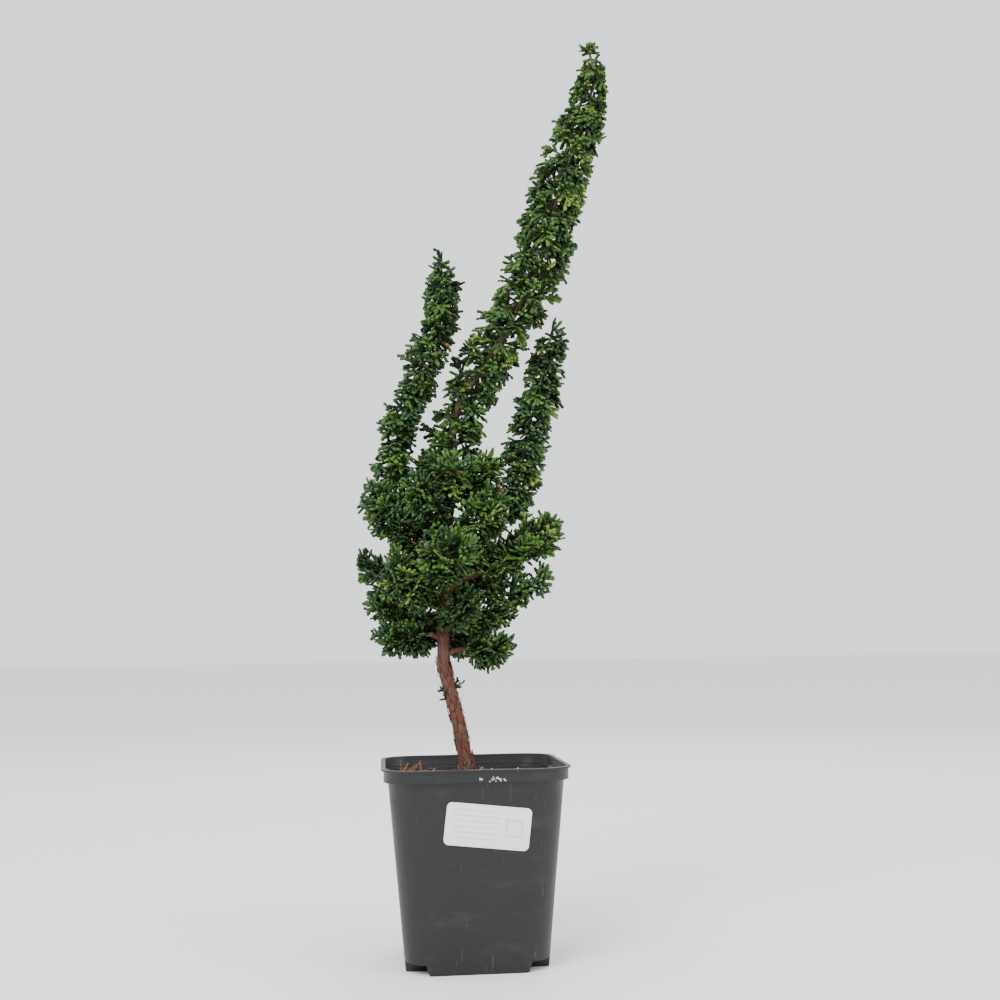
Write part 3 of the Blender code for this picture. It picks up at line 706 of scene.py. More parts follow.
def ring_surface(rings):
    """Closed surface of rings (rows, points round, 3): quads between neighbouring rings, and
    a fan round the middle of the first and of the last."""
    rows, around, _ = rings.shape
    index = np.arange(rows * around).reshape(rows, around)
    after = np.roll(index, -1, axis=1)
    quads = np.stack([index[:-1], after[:-1], after[1:], index[1:]], axis=-1).reshape(-1, 4)
    first, last = rows * around, rows * around + 1
    start_fan = np.stack([after[0], index[0], np.full(around, first)], axis=-1)
    end_fan = np.stack([index[-1], after[-1], np.full(around, last)], axis=-1)
    vertices = np.vstack([rings.reshape(-1, 3), rings[0].mean(0), rings[-1].mean(0)])
    return vertices, quads, np.vstack([start_fan, end_fan])


def repeated(shapes, quads, triangles):
    """Many shapes with the same faces, (count, points, 3), as one list of each."""
    count, points, _ = shapes.shape
    offset = np.arange(count)[:, None, None] * points
    return (
        shapes.reshape(-1, 3),
        (quads + offset).reshape(-1, 4),
        (triangles + offset).reshape(-1, 3),
    )


def joined(*parts):
    """Several (vertices, quads, triangles) as one."""
    offset, vertices, quads, triangles = 0, [], [], []
    for points, fours, threes in parts:
        vertices.append(points)
        quads.append(fours + offset)
        triangles.append(threes + offset)
        offset += len(points)
    return np.vstack(vertices), np.vstack(quads), np.vstack(triangles)


def add_piece(name, surface, materials, slot, uv=None, smooth=35, slots=None):
    """A mesh object from arrays. With a slot it rides on the plant. smooth is the angle in
    degrees from which an edge is sharp, or 0 for none, and slots gives the material number of
    each face, quads first."""
    vertices, quads, triangles = surface
    mesh = bpy.data.meshes.new(name)
    mesh.vertices.add(len(vertices))
    mesh.vertices.foreach_set("co", np.ascontiguousarray(vertices, np.float32).ravel())
    loops = np.concatenate([quads.ravel(), triangles.ravel()]).astype(np.int32)
    sizes = np.concatenate([np.full(len(quads), 4), np.full(len(triangles), 3)])
    starts = np.concatenate([[0], np.cumsum(sizes)[:-1]]).astype(np.int32)
    mesh.loops.add(len(loops))
    mesh.loops.foreach_set("vertex_index", loops)
    mesh.polygons.add(len(sizes))
    mesh.polygons.foreach_set("loop_start", starts)
    mesh.polygons.foreach_set("use_smooth", np.ones(len(sizes), bool))
    if slots is not None:
        mesh.polygons.foreach_set("material_index", slots.astype(np.int32))
    mesh.update(calc_edges=True)
    if uv is not None:
        layer = mesh.uv_layers.new(name="UVMap")
        layer.data.foreach_set("uv", uv[loops].astype(np.float32).ravel())
    if smooth:
        mesh.set_sharp_from_angle(angle=math.radians(smooth))
    for material in materials:
        mesh.materials.append(material)
    piece = bpy.data.objects.new(name, mesh)
    bpy.context.scene.collection.objects.link(piece)
    if slot:
        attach(piece, "root")
    return piece


def carried_rings(points, radii, around, level_foot):
    """Rings round a path, carried along without twisting: (rows, around, 3)."""
    tangents = unit(np.gradient(points, axis=0))
    if level_foot:
        tangents[0] = UP
    side = side_vectors(tangents[0], 0)[0]
    firsts = []
    for tangent in tangents:
        side = unit(side - tangent * (side @ tangent))
        firsts.append(side)
    firsts = np.array(firsts)
    seconds = np.cross(tangents, firsts)
    turns = np.linspace(0, 2 * math.pi, around, endpoint=False)
    spokes = (
        np.cos(turns)[None, :, None] * firsts[:, None]
        + np.sin(turns)[None, :, None] * seconds[:, None]
    )
    return points[:, None] + radii[..., None] * spokes


def waves(coordinates, scale, count, rng):
    """Smooth bumps, mostly between -1.5 and 1.5: a sum of sines in seeded directions."""
    directions = rng.normal(0, 1, (count, coordinates.shape[-1])) * scale
    phases = rng.uniform(0, 2 * math.pi, count)
    return np.sin(coordinates @ directions.T + phases).sum(-1) / math.sqrt(count)


# Shader nodes


class Value:
    """An output of a node. Operators on it add Math nodes."""

    def __init__(self, paint, socket):
        self.paint = paint
        self.socket = socket

    def __add__(self, other):
        return self.paint.maths("ADD", self, other)

    def __sub__(self, other):
        return self.paint.maths("SUBTRACT", self, other)

    def __rsub__(self, other):
        return self.paint.maths("SUBTRACT", other, self)

    def __mul__(self, other):
        return self.paint.maths("MULTIPLY", self, other)

    def __truediv__(self, other):
        return self.paint.maths("DIVIDE", self, other)

    def __rtruediv__(self, other):
        return self.paint.maths("DIVIDE", other, self)

    def __gt__(self, other):
        return self.paint.maths("GREATER_THAN", self, other)

    def __lt__(self, other):
        return self.paint.maths("LESS_THAN", self, other)

    __radd__ = __add__
    __rmul__ = __mul__


class Paint:
    """A Principled material and the nodes that feed it."""

    def __init__(self, name, colour, roughness):
        self.material = bpy.data.materials.new(name)
        self.material.use_nodes = True
        self.tree = self.material.node_tree
        self.shader = self.tree.nodes["Principled BSDF"]
        self.shader.inputs["Base Color"].default_value = (*colour, 1)
        self.shader.inputs["Roughness"].default_value = roughness
        self.material.diffuse_color = (*colour, 1)

    def node(self, kind, settings, inputs, output=0):
        """A node of a type, with its settings first and then its sockets' values or links."""
        node = self.tree.nodes.new(kind)
        for key, value in settings.items():
            setattr(node, key, value)
        for key, value in inputs.items():
            self.feed(node.inputs[key], value)
        return Value(self, node.outputs[output])

    def feed(self, socket, value):
        """Link a value to a socket, or set a constant on it."""
        if isinstance(value, Value):
            self.tree.links.new(value.socket, socket)
        else:
            socket.default_value = value

    def maths(self, operation, first, second):
        """One Math node on two values."""
        return self.node("ShaderNodeMath", {"operation": operation}, {0: first, 1: second})

    def place(self, stretch=(1, 1, 1), output="Object"):
        """Object coordinates, or the piece's own UV, stretched along each axis."""
        point = self.node("ShaderNodeTexCoord", {}, {}, output)
        return self.node("ShaderNodeMapping", {}, {"Vector": point, "Scale": stretch})

    def noise(self, point, scale, detail, roughness=0.6):
        """Cloudy noise of a scale: higher is finer."""
        return self.node("ShaderNodeTexNoise", {}, {
            "Vector": point, "Scale": scale, "Detail": detail, "Roughness": roughness,
        })

    def step_up(self, value, low, high):
        """0 below low, 1 above high, and smooth between."""
        return self.node("ShaderNodeMapRange", {"interpolation_type": "SMOOTHSTEP"}, {
            "Value": value, "From Min": low, "From Max": high,
        })

    def mix(self, share, first, second):
        """A colour between two, by a share."""
        first, second = (c if isinstance(c, Value) else (*c, 1) for c in (first, second))
        return self.node(
            "ShaderNodeMix", {"data_type": "RGBA"}, {0: share, 6: first, 7: second}, 2
        )

    def finish(self, colour, roughness, height, depth, strength):
        """Link what changes over the surface to the shader, and give back the material."""
        self.feed(self.shader.inputs["Base Color"], colour)
        self.feed(self.shader.inputs["Roughness"], roughness)
        bump = self.node("ShaderNodeBump", {}, {
            "Height": height, "Distance": depth, "Strength": strength,
        })
        self.feed(self.shader.inputs["Normal"], bump)
        return self.material


def plastic_material(colour):
    """Charcoal plastic with a faint moulded grain, patches of dust and fine scratches."""
    paint = Paint("pot_plastic", colour, 0.45)
    paint.shader.inputs["Specular IOR Level"].default_value = 0.36
    place = paint.place()
    cloud = paint.noise(place, 38, 5)
    dust = paint.step_up(paint.noise(paint.place((1, 1, 2.5)), 26, 6, 0.7), 0.52, 0.74)
    scratches = paint.step_up(paint.noise(paint.place((60, 60, 6)), 9, 3, 0.5), 0.66, 0.72)
    base = paint.mix(cloud, [c * 0.75 for c in colour], [c * 1.35 for c in colour])
    dusty = paint.mix(dust * 0.12, base, (0.13, 0.12, 0.11))
    marked = paint.mix(scratches * 0.1, dusty, (0.16, 0.16, 0.16))
    grain = paint.noise(place, 1400, 2)
    return paint.finish(
        marked, 0.34 + 0.2 * cloud + 0.2 * dust, grain + 0.8 * cloud, 0.00012, 0.5
    )


def bark_material(red, grey, young):
    """Fibrous red-brown bark under grey-brown flakes that run along the limb. Higher up it
    turns to the smooth skin of young wood."""
    paint = Paint("bark", red, 0.85)
    fibres = paint.noise(paint.place((1, 1, 0.16)), 900, 4, 0.65)
    patches = paint.step_up(paint.noise(paint.place((1, 1, 0.4)), 150, 5, 0.7), 0.44, 0.6)
    base = paint.mix(fibres, [c * 0.45 for c in red], [c * 1.7 for c in red])
    flaked = paint.mix(patches * 0.75, base, paint.mix(fibres, [c * 0.6 for c in grey], grey))
    height = paint.node("ShaderNodeSeparateXYZ", {}, {0: paint.place()}, 2)
    mixed = paint.mix(paint.step_up(height, *YOUNG_WOOD), flaked, paint.mix(
        fibres, [c * 0.55 for c in young], young
    ))
    return paint.finish(mixed, 0.75 + 0.2 * fibres, fibres + 0.8 * patches, 0.0006, 0.9)


def soil_material(name, dark, light, scale):
    """Crumbs in two tones with a rough surface."""
    paint = Paint(name, dark, 0.95)
    place = paint.place()
    crumbs = paint.noise(place, scale, 6, 0.7)
    tone = paint.step_up(crumbs, 0.35, 0.7)
    return paint.finish(paint.mix(tone, dark, light), 0.85 + 0.1 * tone, crumbs, 0.0008, 0.8)


def label_material(colour, print_colour):
    """White sticker with plain ruled lines and an empty box, in its own millimetres."""
    paint = Paint("label_paper", colour, 0.38)
    point = paint.place(output="UV")
    x, y = (paint.node("ShaderNodeSeparateXYZ", {}, {0: point}, axis) for axis in range(2))

    def within(left, right, low, high):
        return (x > left) * (x < right) * (y > low) * (y < high)

    rows = paint.maths("FRACT", y / LINE_STEP + LINE_SHIFT, 0)
    lines = (rows < LINE_SHARE) * within(*LINES_EDGES)
    ink = lines + within(*BOX_OUTER_EDGES) - within(*BOX_INNER_EDGES)
    smudge = paint.step_up(paint.noise(paint.place(), 160, 5), 0.5, 0.75)
    sheet = paint.mix(smudge * 0.25, colour, [c * 0.72 for c in colour])
    return paint.finish(
        paint.mix(ink * 0.75, sheet, print_colour), 0.34 + 0.2 * smudge, smudge, 0.0001, 0.3
    )


def leaf_material(name, colour, roughness=0.5):
    """Plain waxy green. The colours are dealt out by spray, so nothing varies in it."""
    paint = Paint(name, colour, roughness)
    paint.shader.inputs["Specular IOR Level"].default_value = 0.25
    return paint.material


# Settings


def colour_property(name, description, default):
    """A colour for the panel."""
    return FloatVectorProperty(
        name=name, description=description, subtype="COLOR", size=3, default=default,
        min=0, max=1,
    )


class PotSettings(bpy.types.PropertyGroup):
    """Finish of the pot and its sticker."""

    colour: colour_property("Plastic", "Colour of the pot", (0.0085, 0.009, 0.0105))
    edge: FloatProperty(
        name="Edge", description="Rounding of the lip's edges", unit="LENGTH",
        default=0.35 * MM, min=0,
    )
    paper: colour_property("Sticker", "Colour of the sticker", (0.80, 0.79, 0.79))
    ink: colour_property("Print", "Colour of the ruled lines", (0.25, 0.25, 0.27))


class SoilSettings(bpy.types.PropertyGroup):
    """What lies on top of the pot's fill."""

    dark: colour_property("Soil", "Darker tone of the soil", (0.022, 0.014, 0.009))
    light: colour_property("Crumbs", "Lighter tone of the soil", (0.10, 0.062, 0.038))
    crumbs: IntProperty(
        name="Crumbs", description="Number of crumbs on the soil", default=1500, min=0,
    )
    relief: FloatProperty(
        name="Relief", description="Height of the soil's bumps", unit="LENGTH",
        default=1.1 * MM, min=0,
    )


class BarkSettings(bpy.types.PropertyGroup):
    """Bark of the stem and boughs."""

    red: colour_property("Bark", "Colour of the inner bark", (0.105, 0.028, 0.013))
    grey: colour_property("Flakes", "Colour of the weathered flakes", (0.115, 0.070, 0.046))
    young: colour_property("Young wood", "Colour of the leader's skin", (0.13, 0.12, 0.035))
    relief: FloatProperty(
        name="Relief", description="Depth of the furrows as a share of the radius",
        subtype="FACTOR", default=0.16, min=0, max=0.3,
    )
    flakes: IntProperty(
        name="Flakes", description="Number of lifted flakes", default=420, min=0,
    )


class FoliageSettings(bpy.types.PropertyGroup):
    """How densely the masses grow, and their tints."""

    fullness: FloatProperty(
        name="Fullness", description="How many twigs grow, as a share of the usual number",
        subtype="FACTOR", default=1, min=0.3, max=1.5,
    )
    side_step: FloatProperty(
        name="Side step", description="Spacing of the sprays along a twig", unit="LENGTH",
        default=4.8 * MM, min=2 * MM,
    )
    spray_length: FloatProperty(
        name="Spray", description="Length of a spray", unit="LENGTH",
        default=15.5 * MM, min=4 * MM,
    )
    finger_width: FloatProperty(
        name="Finger", description="Width of a spray's fingers", unit="LENGTH",
        default=2.3 * MM, min=0.5 * MM,
    )
    # Painted shade: the tint of sprays deep inside the crown, under it and on the bare stem
    shade: colour_property("Shade", "Tint of the sprays inside", (0.010, 0.026, 0.007))
    green: colour_property("Green", "Tint of most sprays", (0.028, 0.066, 0.014))
    blue: colour_property("Bluish", "Tint of the bluish sprays", (0.027, 0.065, 0.027))
    # The next two tints serve young growth on the tall leader and also painted light on the
    # sunny masses
    fresh: colour_property("Fresh", "Tint of the younger sprays", (0.048, 0.104, 0.019))
    bright: colour_property("Bright", "Tint of the youngest sprays", (0.105, 0.172, 0.029))
    brown: colour_property("Dry", "Tint of the few dry sprays", (0.15, 0.075, 0.028))
    twig: colour_property("Twigs", "Colour of the twigs", (0.10, 0.075, 0.03))


class StageSettings(bpy.types.PropertyGroup):
    """Floor and light."""

    floor: colour_property("Floor", "Colour of the floor", (0.86, 0.86, 0.85))
    key: FloatProperty(
        name="Key light", description="Power of the main light", subtype="POWER", default=38,
        min=0,
    )
    fill: FloatProperty(
        name="Fill light", description="Power of the second light", subtype="POWER",
        default=11, min=0,
    )
    sky: FloatProperty(
        name="Sky", description="Brightness all round", default=1.55, min=0,
    )


# Pot, label and soil


def rounded_square(side, corner, per_side=10, per_corner=10):
    """Points round a square with round corners, counter-clockwise from the middle of the
    right side: straight runs between quarter turns."""
    turns = np.linspace(0, math.pi / 2, per_corner + 1)
    half = side / 2
    quarters = []
    for quarter in range(4):
        run = np.linspace(-(half - corner), half - corner, per_side, endpoint=False)
        x = np.concatenate([np.full(per_side, half), half - corner + corner * np.cos(turns)])
        y = np.concatenate([run, half - corner + corner * np.sin(turns)])
        for _ in range(quarter):
            x, y = -y, x
        quarters.append(np.stack([x, y], axis=-1)[:-1])
    return np.vstack(quarters)


def at(outline, height):
    """A flat outline lifted to a height."""
    return np.column_stack([outline, np.full(len(outline), height)])


def notched(outline, inner):
    """A rounded square with its corners cut back to a cross: a point in a corner moves on to
    the two straight sides of the notch, by its share of the way round the corner."""
    result = outline.copy()
    for sign_x, sign_y in ((1, 1), (-1, 1), (-1, -1), (1, -1)):
        x, y = outline[:, 0] * sign_x, outline[:, 1] * sign_y
        corner = (x > inner) & (y > inner)
        angle = np.arctan2(y[corner] - inner, x[corner] - inner)
        share = angle / (math.pi / 2)
        reach = x[corner].max() - inner
        new_x = inner + reach * np.clip(1 - 2 * share, 0, 1)
        new_y = inner + reach * np.clip(2 * share - 1, 0, 1)
        result[corner] = np.column_stack([new_x * sign_x, new_y * sign_y])
    return result


def wall_side(height, inset):
    """Side of the pot's tapering wall at a height, drawn in by an inset."""
    return WALL_BASE_SIDE + (WALL_TOP_SIDE - WALL_BASE_SIDE) * height / SHOULDER - 2 * inset


def pot_surface(edge):
    """Profile carried round a rounded square: under the floor, out and up the wall, round the
    band and the lip, and down the inside to the floor."""
    def wall(height, inset):
        corner = BASE_CORNER + (TOP_CORNER - BASE_CORNER) * height / SHOULDER
        return at(rounded_square(wall_side(height, inset), corner - inset), height)

    foot = notched(rounded_square(WALL_BASE_SIDE, BASE_CORNER), FOOT_HALF_AT_GROUND)
    arch = notched(wall(FOOT_HEIGHT, 0)[:, :2], FOOT_HALF_AT_TOP)
    band_corner = RIM_CORNER - 1 * MM
    inner = BAND_SIDE - 2 * WALL
    rings = [at(foot * 0.985, 0), at(foot, 0.4 * MM), at(arch, FOOT_HEIGHT)]
    rings += [wall(h, 0) for h in np.linspace(FOOT_HEIGHT, SHOULDER - edge, 14)]
    for side, corner, height in (
        (WALL_TOP_SIDE + 0.6 * MM, TOP_CORNER, SHOULDER),
        (BAND_SIDE - 2 * edge, band_corner - edge, SHOULDER),
        (BAND_SIDE - 0.4 * edge, band_corner, SHOULDER + 0.4 * edge),
        (BAND_SIDE, band_corner, SHOULDER + edge),
        (BAND_SIDE, band_corner, LIP - edge),
        (BAND_SIDE + edge, band_corner, LIP),
        (RIM_SIDE - edge, RIM_CORNER, LIP + 0.1 * MM),
        (RIM_SIDE, RIM_CORNER, LIP + 0.1 * MM + edge),
        (RIM_SIDE, RIM_CORNER, POT_HEIGHT - edge),
        (RIM_SIDE - 0.6 * edge, RIM_CORNER, POT_HEIGHT - 0.2 * edge),
        (RIM_SIDE - 2 * edge, RIM_CORNER - edge, POT_HEIGHT),
        (inner + 2 * edge, band_corner - WALL + edge, POT_HEIGHT),
        (inner + 0.4 * edge, band_corner - WALL, POT_HEIGHT - 0.2 * edge),
        (inner, band_corner - WALL, POT_HEIGHT - edge),
        (inner, band_corner - WALL, SHOULDER + WALL + edge),
        (inner - 2 * edge, band_corner - WALL - edge, SHOULDER + WALL),
        (wall_side(SHOULDER, WALL) + 2 * edge, TOP_CORNER - WALL + edge, SHOULDER + WALL),
        (wall_side(SHOULDER, WALL), TOP_CORNER - WALL, SHOULDER + WALL - 2 * edge),
    ):
        rings.append(at(rounded_square(side, corner), height))
    rings += [wall(h, WALL) for h in np.linspace(SHOULDER - 2 * MM, POT_FLOOR, 5)]
    return ring_surface(np.array(rings))


def mound(spots):
    """Low rise of the soil round the stem: a bell curve of the distance from its foot."""
    distance = np.linalg.norm(spots - TRUNK_POINTS[0, :2], axis=-1)
    return MOUND_HEIGHT * np.exp(-(distance / MOUND_REACH) ** 2)


def soil_surface(relief, rng):
    """A fill under the pot's rim: shrinking rounded squares, lifted by waves that fade at
    the wall, with a low mound round the stem."""
    rim = rounded_square(wall_side(SOIL_TOP, WALL) + 0.3 * MM, TOP_CORNER - WALL)
    rings = [at(rim * 0.96, SOIL_FOOT), at(rim, SOIL_TOP - 2.5 * MM)]
    rings += [at(rim * scale, SOIL_TOP) for scale in np.linspace(1, 0.03, SOIL_RINGS)]
    # Nothing uses these waves. They only keep the later draws, and all that lies on the
    # soil with them, as they were
    for _ in range(SOIL_RINGS - 1):
        waves(rim, 0, 14, rng)
    rings = np.array(rings)
    flat = rings[2:, :, :2]
    bumps = waves(flat, 190, 12, rng) + 0.5 * waves(flat, 620, 14, rng)
    fade = np.linspace(0.35, 1, len(flat))[:, None]
    rings[2:, :, 2] += relief * bumps * fade * 0.5 + mound(flat)
    return ring_surface(rings)


def within_corners(spots, half):
    """Spots of a square drawn in to a squircle, so that none lies beyond a round corner."""
    reach = (np.abs(spots / half) ** 5).sum(1) ** 0.2
    return spots / np.maximum(reach, 1)[:, None]


def soil_height(spots):
    """A level for what lies on the soil."""
    return SOIL_TOP + mound(spots)


def lumps(centres, sizes, rng):
    """Uneven lumps of three rings of five corners, each with its own turn and stretch."""
    heights = np.array([-0.6, 0.05, 0.65])
    turns = np.linspace(0, 2 * math.pi, 5, endpoint=False)
    ring = np.sqrt(1 - heights**2)
    base = np.stack([
        ring[:, None] * np.cos(turns), ring[:, None] * np.sin(turns),
        np.repeat(heights[:, None], 5, axis=1),
    ], axis=-1)
    vertices, quads, triangles = ring_surface(base)
    vertices[-2:, 2] = (-1, 1)
    shapes = vertices * rng.uniform(0.75, 1.25, (len(centres), len(vertices), 1))
    turned = np.linalg.qr(rng.normal(0, 1, (len(centres), 3, 3)))[0]
    turned *= np.sign(np.linalg.det(turned))[:, None, None]
    shapes = np.einsum("nvk,njk->nvj", shapes * sizes[:, None], turned)
    return repeated(shapes + centres[:, None], quads, triangles)


def flat_flecks(centres, sizes, rng):
    """Flat uneven discs on the front wall: a ring of seven corners behind a smaller one."""
    turns = np.linspace(0, 2 * math.pi, 7, endpoint=False)
    rings = np.array([
        np.column_stack([radius * np.cos(turns), np.full(7, y), radius * np.sin(turns)])
        for radius, y in ((1, 1), (0.85, -1))
    ])
    vertices, quads, triangles = ring_surface(rings)
    shapes = vertices * rng.uniform(0.8, 1.2, (len(centres), len(vertices), 1))
    return repeated(shapes * sizes[:, None] + centres[:, None], quads, triangles)


def bars(starts, directions, flats, lengths, widths, thickness, bend):
    """Flat bars with lifted ends: four rings of four corners along a parabola."""
    shares = np.array([0, 0.33, 0.67, 1.0])
    half = np.array([0.7, 1.0, 0.95, 0.55])
    normals = np.cross(directions, flats)
    centres = (
        starts[:, None] + directions[:, None] * (lengths[:, None] * shares)[..., None]
        + normals[:, None] * (bend[:, None] * lengths[:, None] * shares**2)[..., None]
    )
    across = flats[:, None] * (widths[:, None] / 2 * half)[..., None]
    lift = normals[:, None] * (thickness[:, None] / 2 * np.ones(4))[..., None]
    rings = np.stack([centres + across, centres + lift, centres - across, centres - lift], 2)
    _, quads, triangles = ring_surface(rings[0])
    ends = rings[:, [0, -1]].mean(2)
    return repeated(
        np.concatenate([rings.reshape(len(starts), -1, 3), ends], axis=1), quads, triangles
    )


def label_surface():
    """Rounded rectangle in shrinking rings on the sloping wall, with its own millimetres."""
    outline = []
    half = LABEL_SIZE / 2 - LABEL_CORNER
    for quarter, signs in enumerate(((1, 1), (-1, 1), (-1, -1), (1, -1))):
        angles = (quarter + np.linspace(0, 1, 9)) * math.pi / 2
        round_part = LABEL_CORNER * np.column_stack([np.cos(angles), np.sin(angles)])
        outline.append(half * signs + round_part)
    outline = np.vstack(outline)
    flat = np.array([outline * s for s in (0.9, 0.997, 1, 0.997, 0.96, 0.7, 0.4, 0.1)])
    depth = np.array([0.02, 0.02, 0.2, 0.36, 0.42, 0.42, 0.42, 0.42]) * MM
    slope = (WALL_TOP_SIDE - WALL_BASE_SIDE) / 2 / SHOULDER
    up = unit(np.array([0, -slope, 1.0]))
    right = np.array([1.0, 0, 0])
    out = np.cross(right, up)
    turn = np.array([
        [math.cos(LABEL_TURN), -math.sin(LABEL_TURN)],
        [math.sin(LABEL_TURN), math.cos(LABEL_TURN)],
    ])
    turned = flat @ turn.T
    centre_x, centre_z = LABEL_CENTRE
    centre = np.array([centre_x, -wall_side(centre_z, 0) / 2, centre_z])
    rings = (
        centre + turned[..., :1] * right + turned[..., 1:] * up + depth[:, None, None] * out
    )
    uv = np.vstack([flat.reshape(-1, 2), [[0, 0], [0, 0]]]) / MM
    return ring_surface(rings), uv


# Bark


def bark_surface(limb, around, relief, rng, level_foot=False):
    """A tube whose radius is furrowed: ridges run along the limb, and swing and fade with
    height, and waves make the bark uneven."""
    marks = length_marks(limb.points)
    length = marks[-1]
    marks = marks / length
    shares = np.linspace(0, 1, int(length / BARK_STEP))
    points = np.column_stack([np.interp(shares, marks, limb.points[:, k]) for k in range(3)])
    kernel = np.ones(BARK_ROUNDING) / BARK_ROUNDING
    ends = BARK_ROUNDING // 2
    for k in range(3):
        points[ends:-ends, k] = np.convolve(points[:, k], kernel, "valid")
    radii = np.interp(shares, marks, limb.radii)
    turns = np.linspace(0, 2 * math.pi, around, endpoint=False)
    height = shares[:, None] * length * np.ones(around)
    circle = np.stack([
        np.cos(turns) * np.ones_like(height), np.sin(turns) * np.ones_like(height),
        height / WAVE_CLIMB,
    ], axis=-1)
    swing = waves(circle, 0.5, 6, rng)
    ridges = 1 - 2 * np.abs(np.sin(RIDGES / 2 * turns + 1.4 * swing))
    rough = waves(circle * (1, 1, 2.2), 1.6, 12, rng)
    depth = relief * np.interp(points[:, 2], FURROW_HEIGHTS, FURROW_DEPTHS)[:, None]
    flare = np.interp(height, (0, FLARE_HEIGHT), (1, 0)) if level_foot else 0
    lobes = 1 + LOBE_SHARE * flare * np.sin(LOBES * turns + 0.7)
    return ring_surface(carried_rings(
        points, radii[:, None] * lobes * (1 + depth * (0.6 * ridges + 0.6 * rough)), around,
        level_foot,
    ))


def flake_bars(limb, count, rng):
    """Lifted flakes on the lower bark: bars along the limb that stand off at one end."""
    numbers = np.arange(len(limb.points))
    index = rng.beta(0.9, 1.5, count) * np.interp(FLAKES_TO, limb.points[:, 2], numbers)
    low = index.astype(int).clip(0, len(limb.points) - 2)
    part = (index - low)[:, None]
    points = limb.points[low] * (1 - part) + limb.points[low + 1] * part
    radii = limb.radii[low] * (1 - part[:, 0]) + limb.radii[low + 1] * part[:, 0]
    tangents = unit(limb.points[low + 1] - limb.points[low])
    turns = rng.uniform(0, 2 * math.pi, count)
    around = np.column_stack([np.cos(turns), np.sin(turns), np.zeros(count)])
    outs = unit(around - tangents * (around * tangents).sum(1)[:, None])
    flats = np.cross(outs, tangents)
    signs = rng.choice([-1, 1], count)[:, None]
    directions = unit(tangents * signs + 0.26 * outs)
    flats = np.where(signs > 0, flats, -flats)
    return bars(
        points + outs * (radii * 0.99)[:, None], directions, flats,
        rng.uniform(2.5, 6.5, count) * MM, rng.uniform(1, 2.4, count) * MM,
        rng.uniform(0.3, 0.5, count) * MM, -rng.uniform(-0.02, 0.14, count),
    )


# Foliage


def finger_surface(rows):
    """Every finger at once: diamonds of four corners in rings along a parabola, wider and
    narrower in turn and twisted a little, closed by a blunt tip. The outermost stretch and
    the tip have the second material."""
    roots, aims, flats, lengths, widths, curls = (
        np.array([row[k] for row in rows]) for k in range(6)
    )
    normals = np.cross(aims, flats)
    reach = lengths[:, None] * FINGER_RINGS
    bend = (curls[:, None] * lengths[:, None] * FINGER_RINGS**2)[..., None]
    centres = roots[:, None] + aims[:, None] * reach[..., None] + bend * UP
    turn = np.arange(4) * math.pi / 2 + FINGER_TWIST * np.arange(len(FINGER_RINGS))[:, None]
    size = (widths[:, None] / 2 * FINGER_WIDTHS)[..., None, None]
    rings = (
        centres[:, :, None]
        + size * np.cos(turn)[None, ..., None] * flats[:, None, None]
        + size * FINGER_FLATNESS * np.sin(turn)[None, ..., None] * normals[:, None, None]
    )
    _, quads, triangles = ring_surface(rings[0])
    tips = roots + aims * lengths[:, None] + UP * (curls * lengths)[:, None]
    ends = np.stack([rings[:, 0].mean(1), tips], axis=1)
    shapes = np.concatenate([rings.reshape(len(rings), -1, 3), ends], axis=1)
    tip_quads = np.arange(len(quads)) >= len(quads) - 4
    tip_triangles = np.arange(len(triangles)) >= len(triangles) - 4
    slots = np.concatenate([np.tile(tip_quads, len(rows)), np.tile(tip_triangles, len(rows))])
    return repeated(shapes, quads, triangles), slots


def twig_surface(rows):
    """Every twig at once: tapering tubes of five sides from start to end."""
    starts, ends, first, last = (np.array([row[k] for row in rows]) for k in range(4))
    directions = unit(ends - starts)
    level = unit(np.cross(directions, np.array([0.31, 0.22, 0.93])))
    other = np.cross(directions, level)
    turns = np.linspace(0, 2 * math.pi, 5, endpoint=False)
    spokes = (
        np.cos(turns)[None, :, None] * level[:, None]
        + np.sin(turns)[None, :, None] * other[:, None]
    )
    rings = np.stack([
        starts[:, None] + first[:, None, None] * spokes,
        ends[:, None] + last[:, None, None] * spokes,
    ], axis=1)
    _, quads, triangles = ring_surface(rings[0])
    caps = np.stack([starts, ends], axis=1)
    return repeated(
        np.concatenate([rings.reshape(len(rings), -1, 3), caps], axis=1), quads, triangles
    )


def inside_reach(fingers):
    """Fingers cut short where they would leave the solids' box, and dropped where too little
    of one would be left."""
    low, high = (np.array(corner) for corner in CAD_BOX)
    low, high = low + BOX_MARGIN, high - BOX_MARGIN
    kept = []
    for root, aim, flat, length, width, curl, tint in fingers:
        while length > SHORTEST_CUT:
            tip = root + aim * length + UP * curl * length
            if (tip > low).all() and (tip < high).all():
                kept.append((root, aim, flat, length, width, curl, tint))
                break
            length *= 0.8
    return kept


def mass_nodes():
    """Names of all CAD nodes of foliage."""
    fixed = {"pot", "soil", "label", "trunk"}
    return sorted(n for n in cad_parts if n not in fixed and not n.startswith("bough"))


# Operators


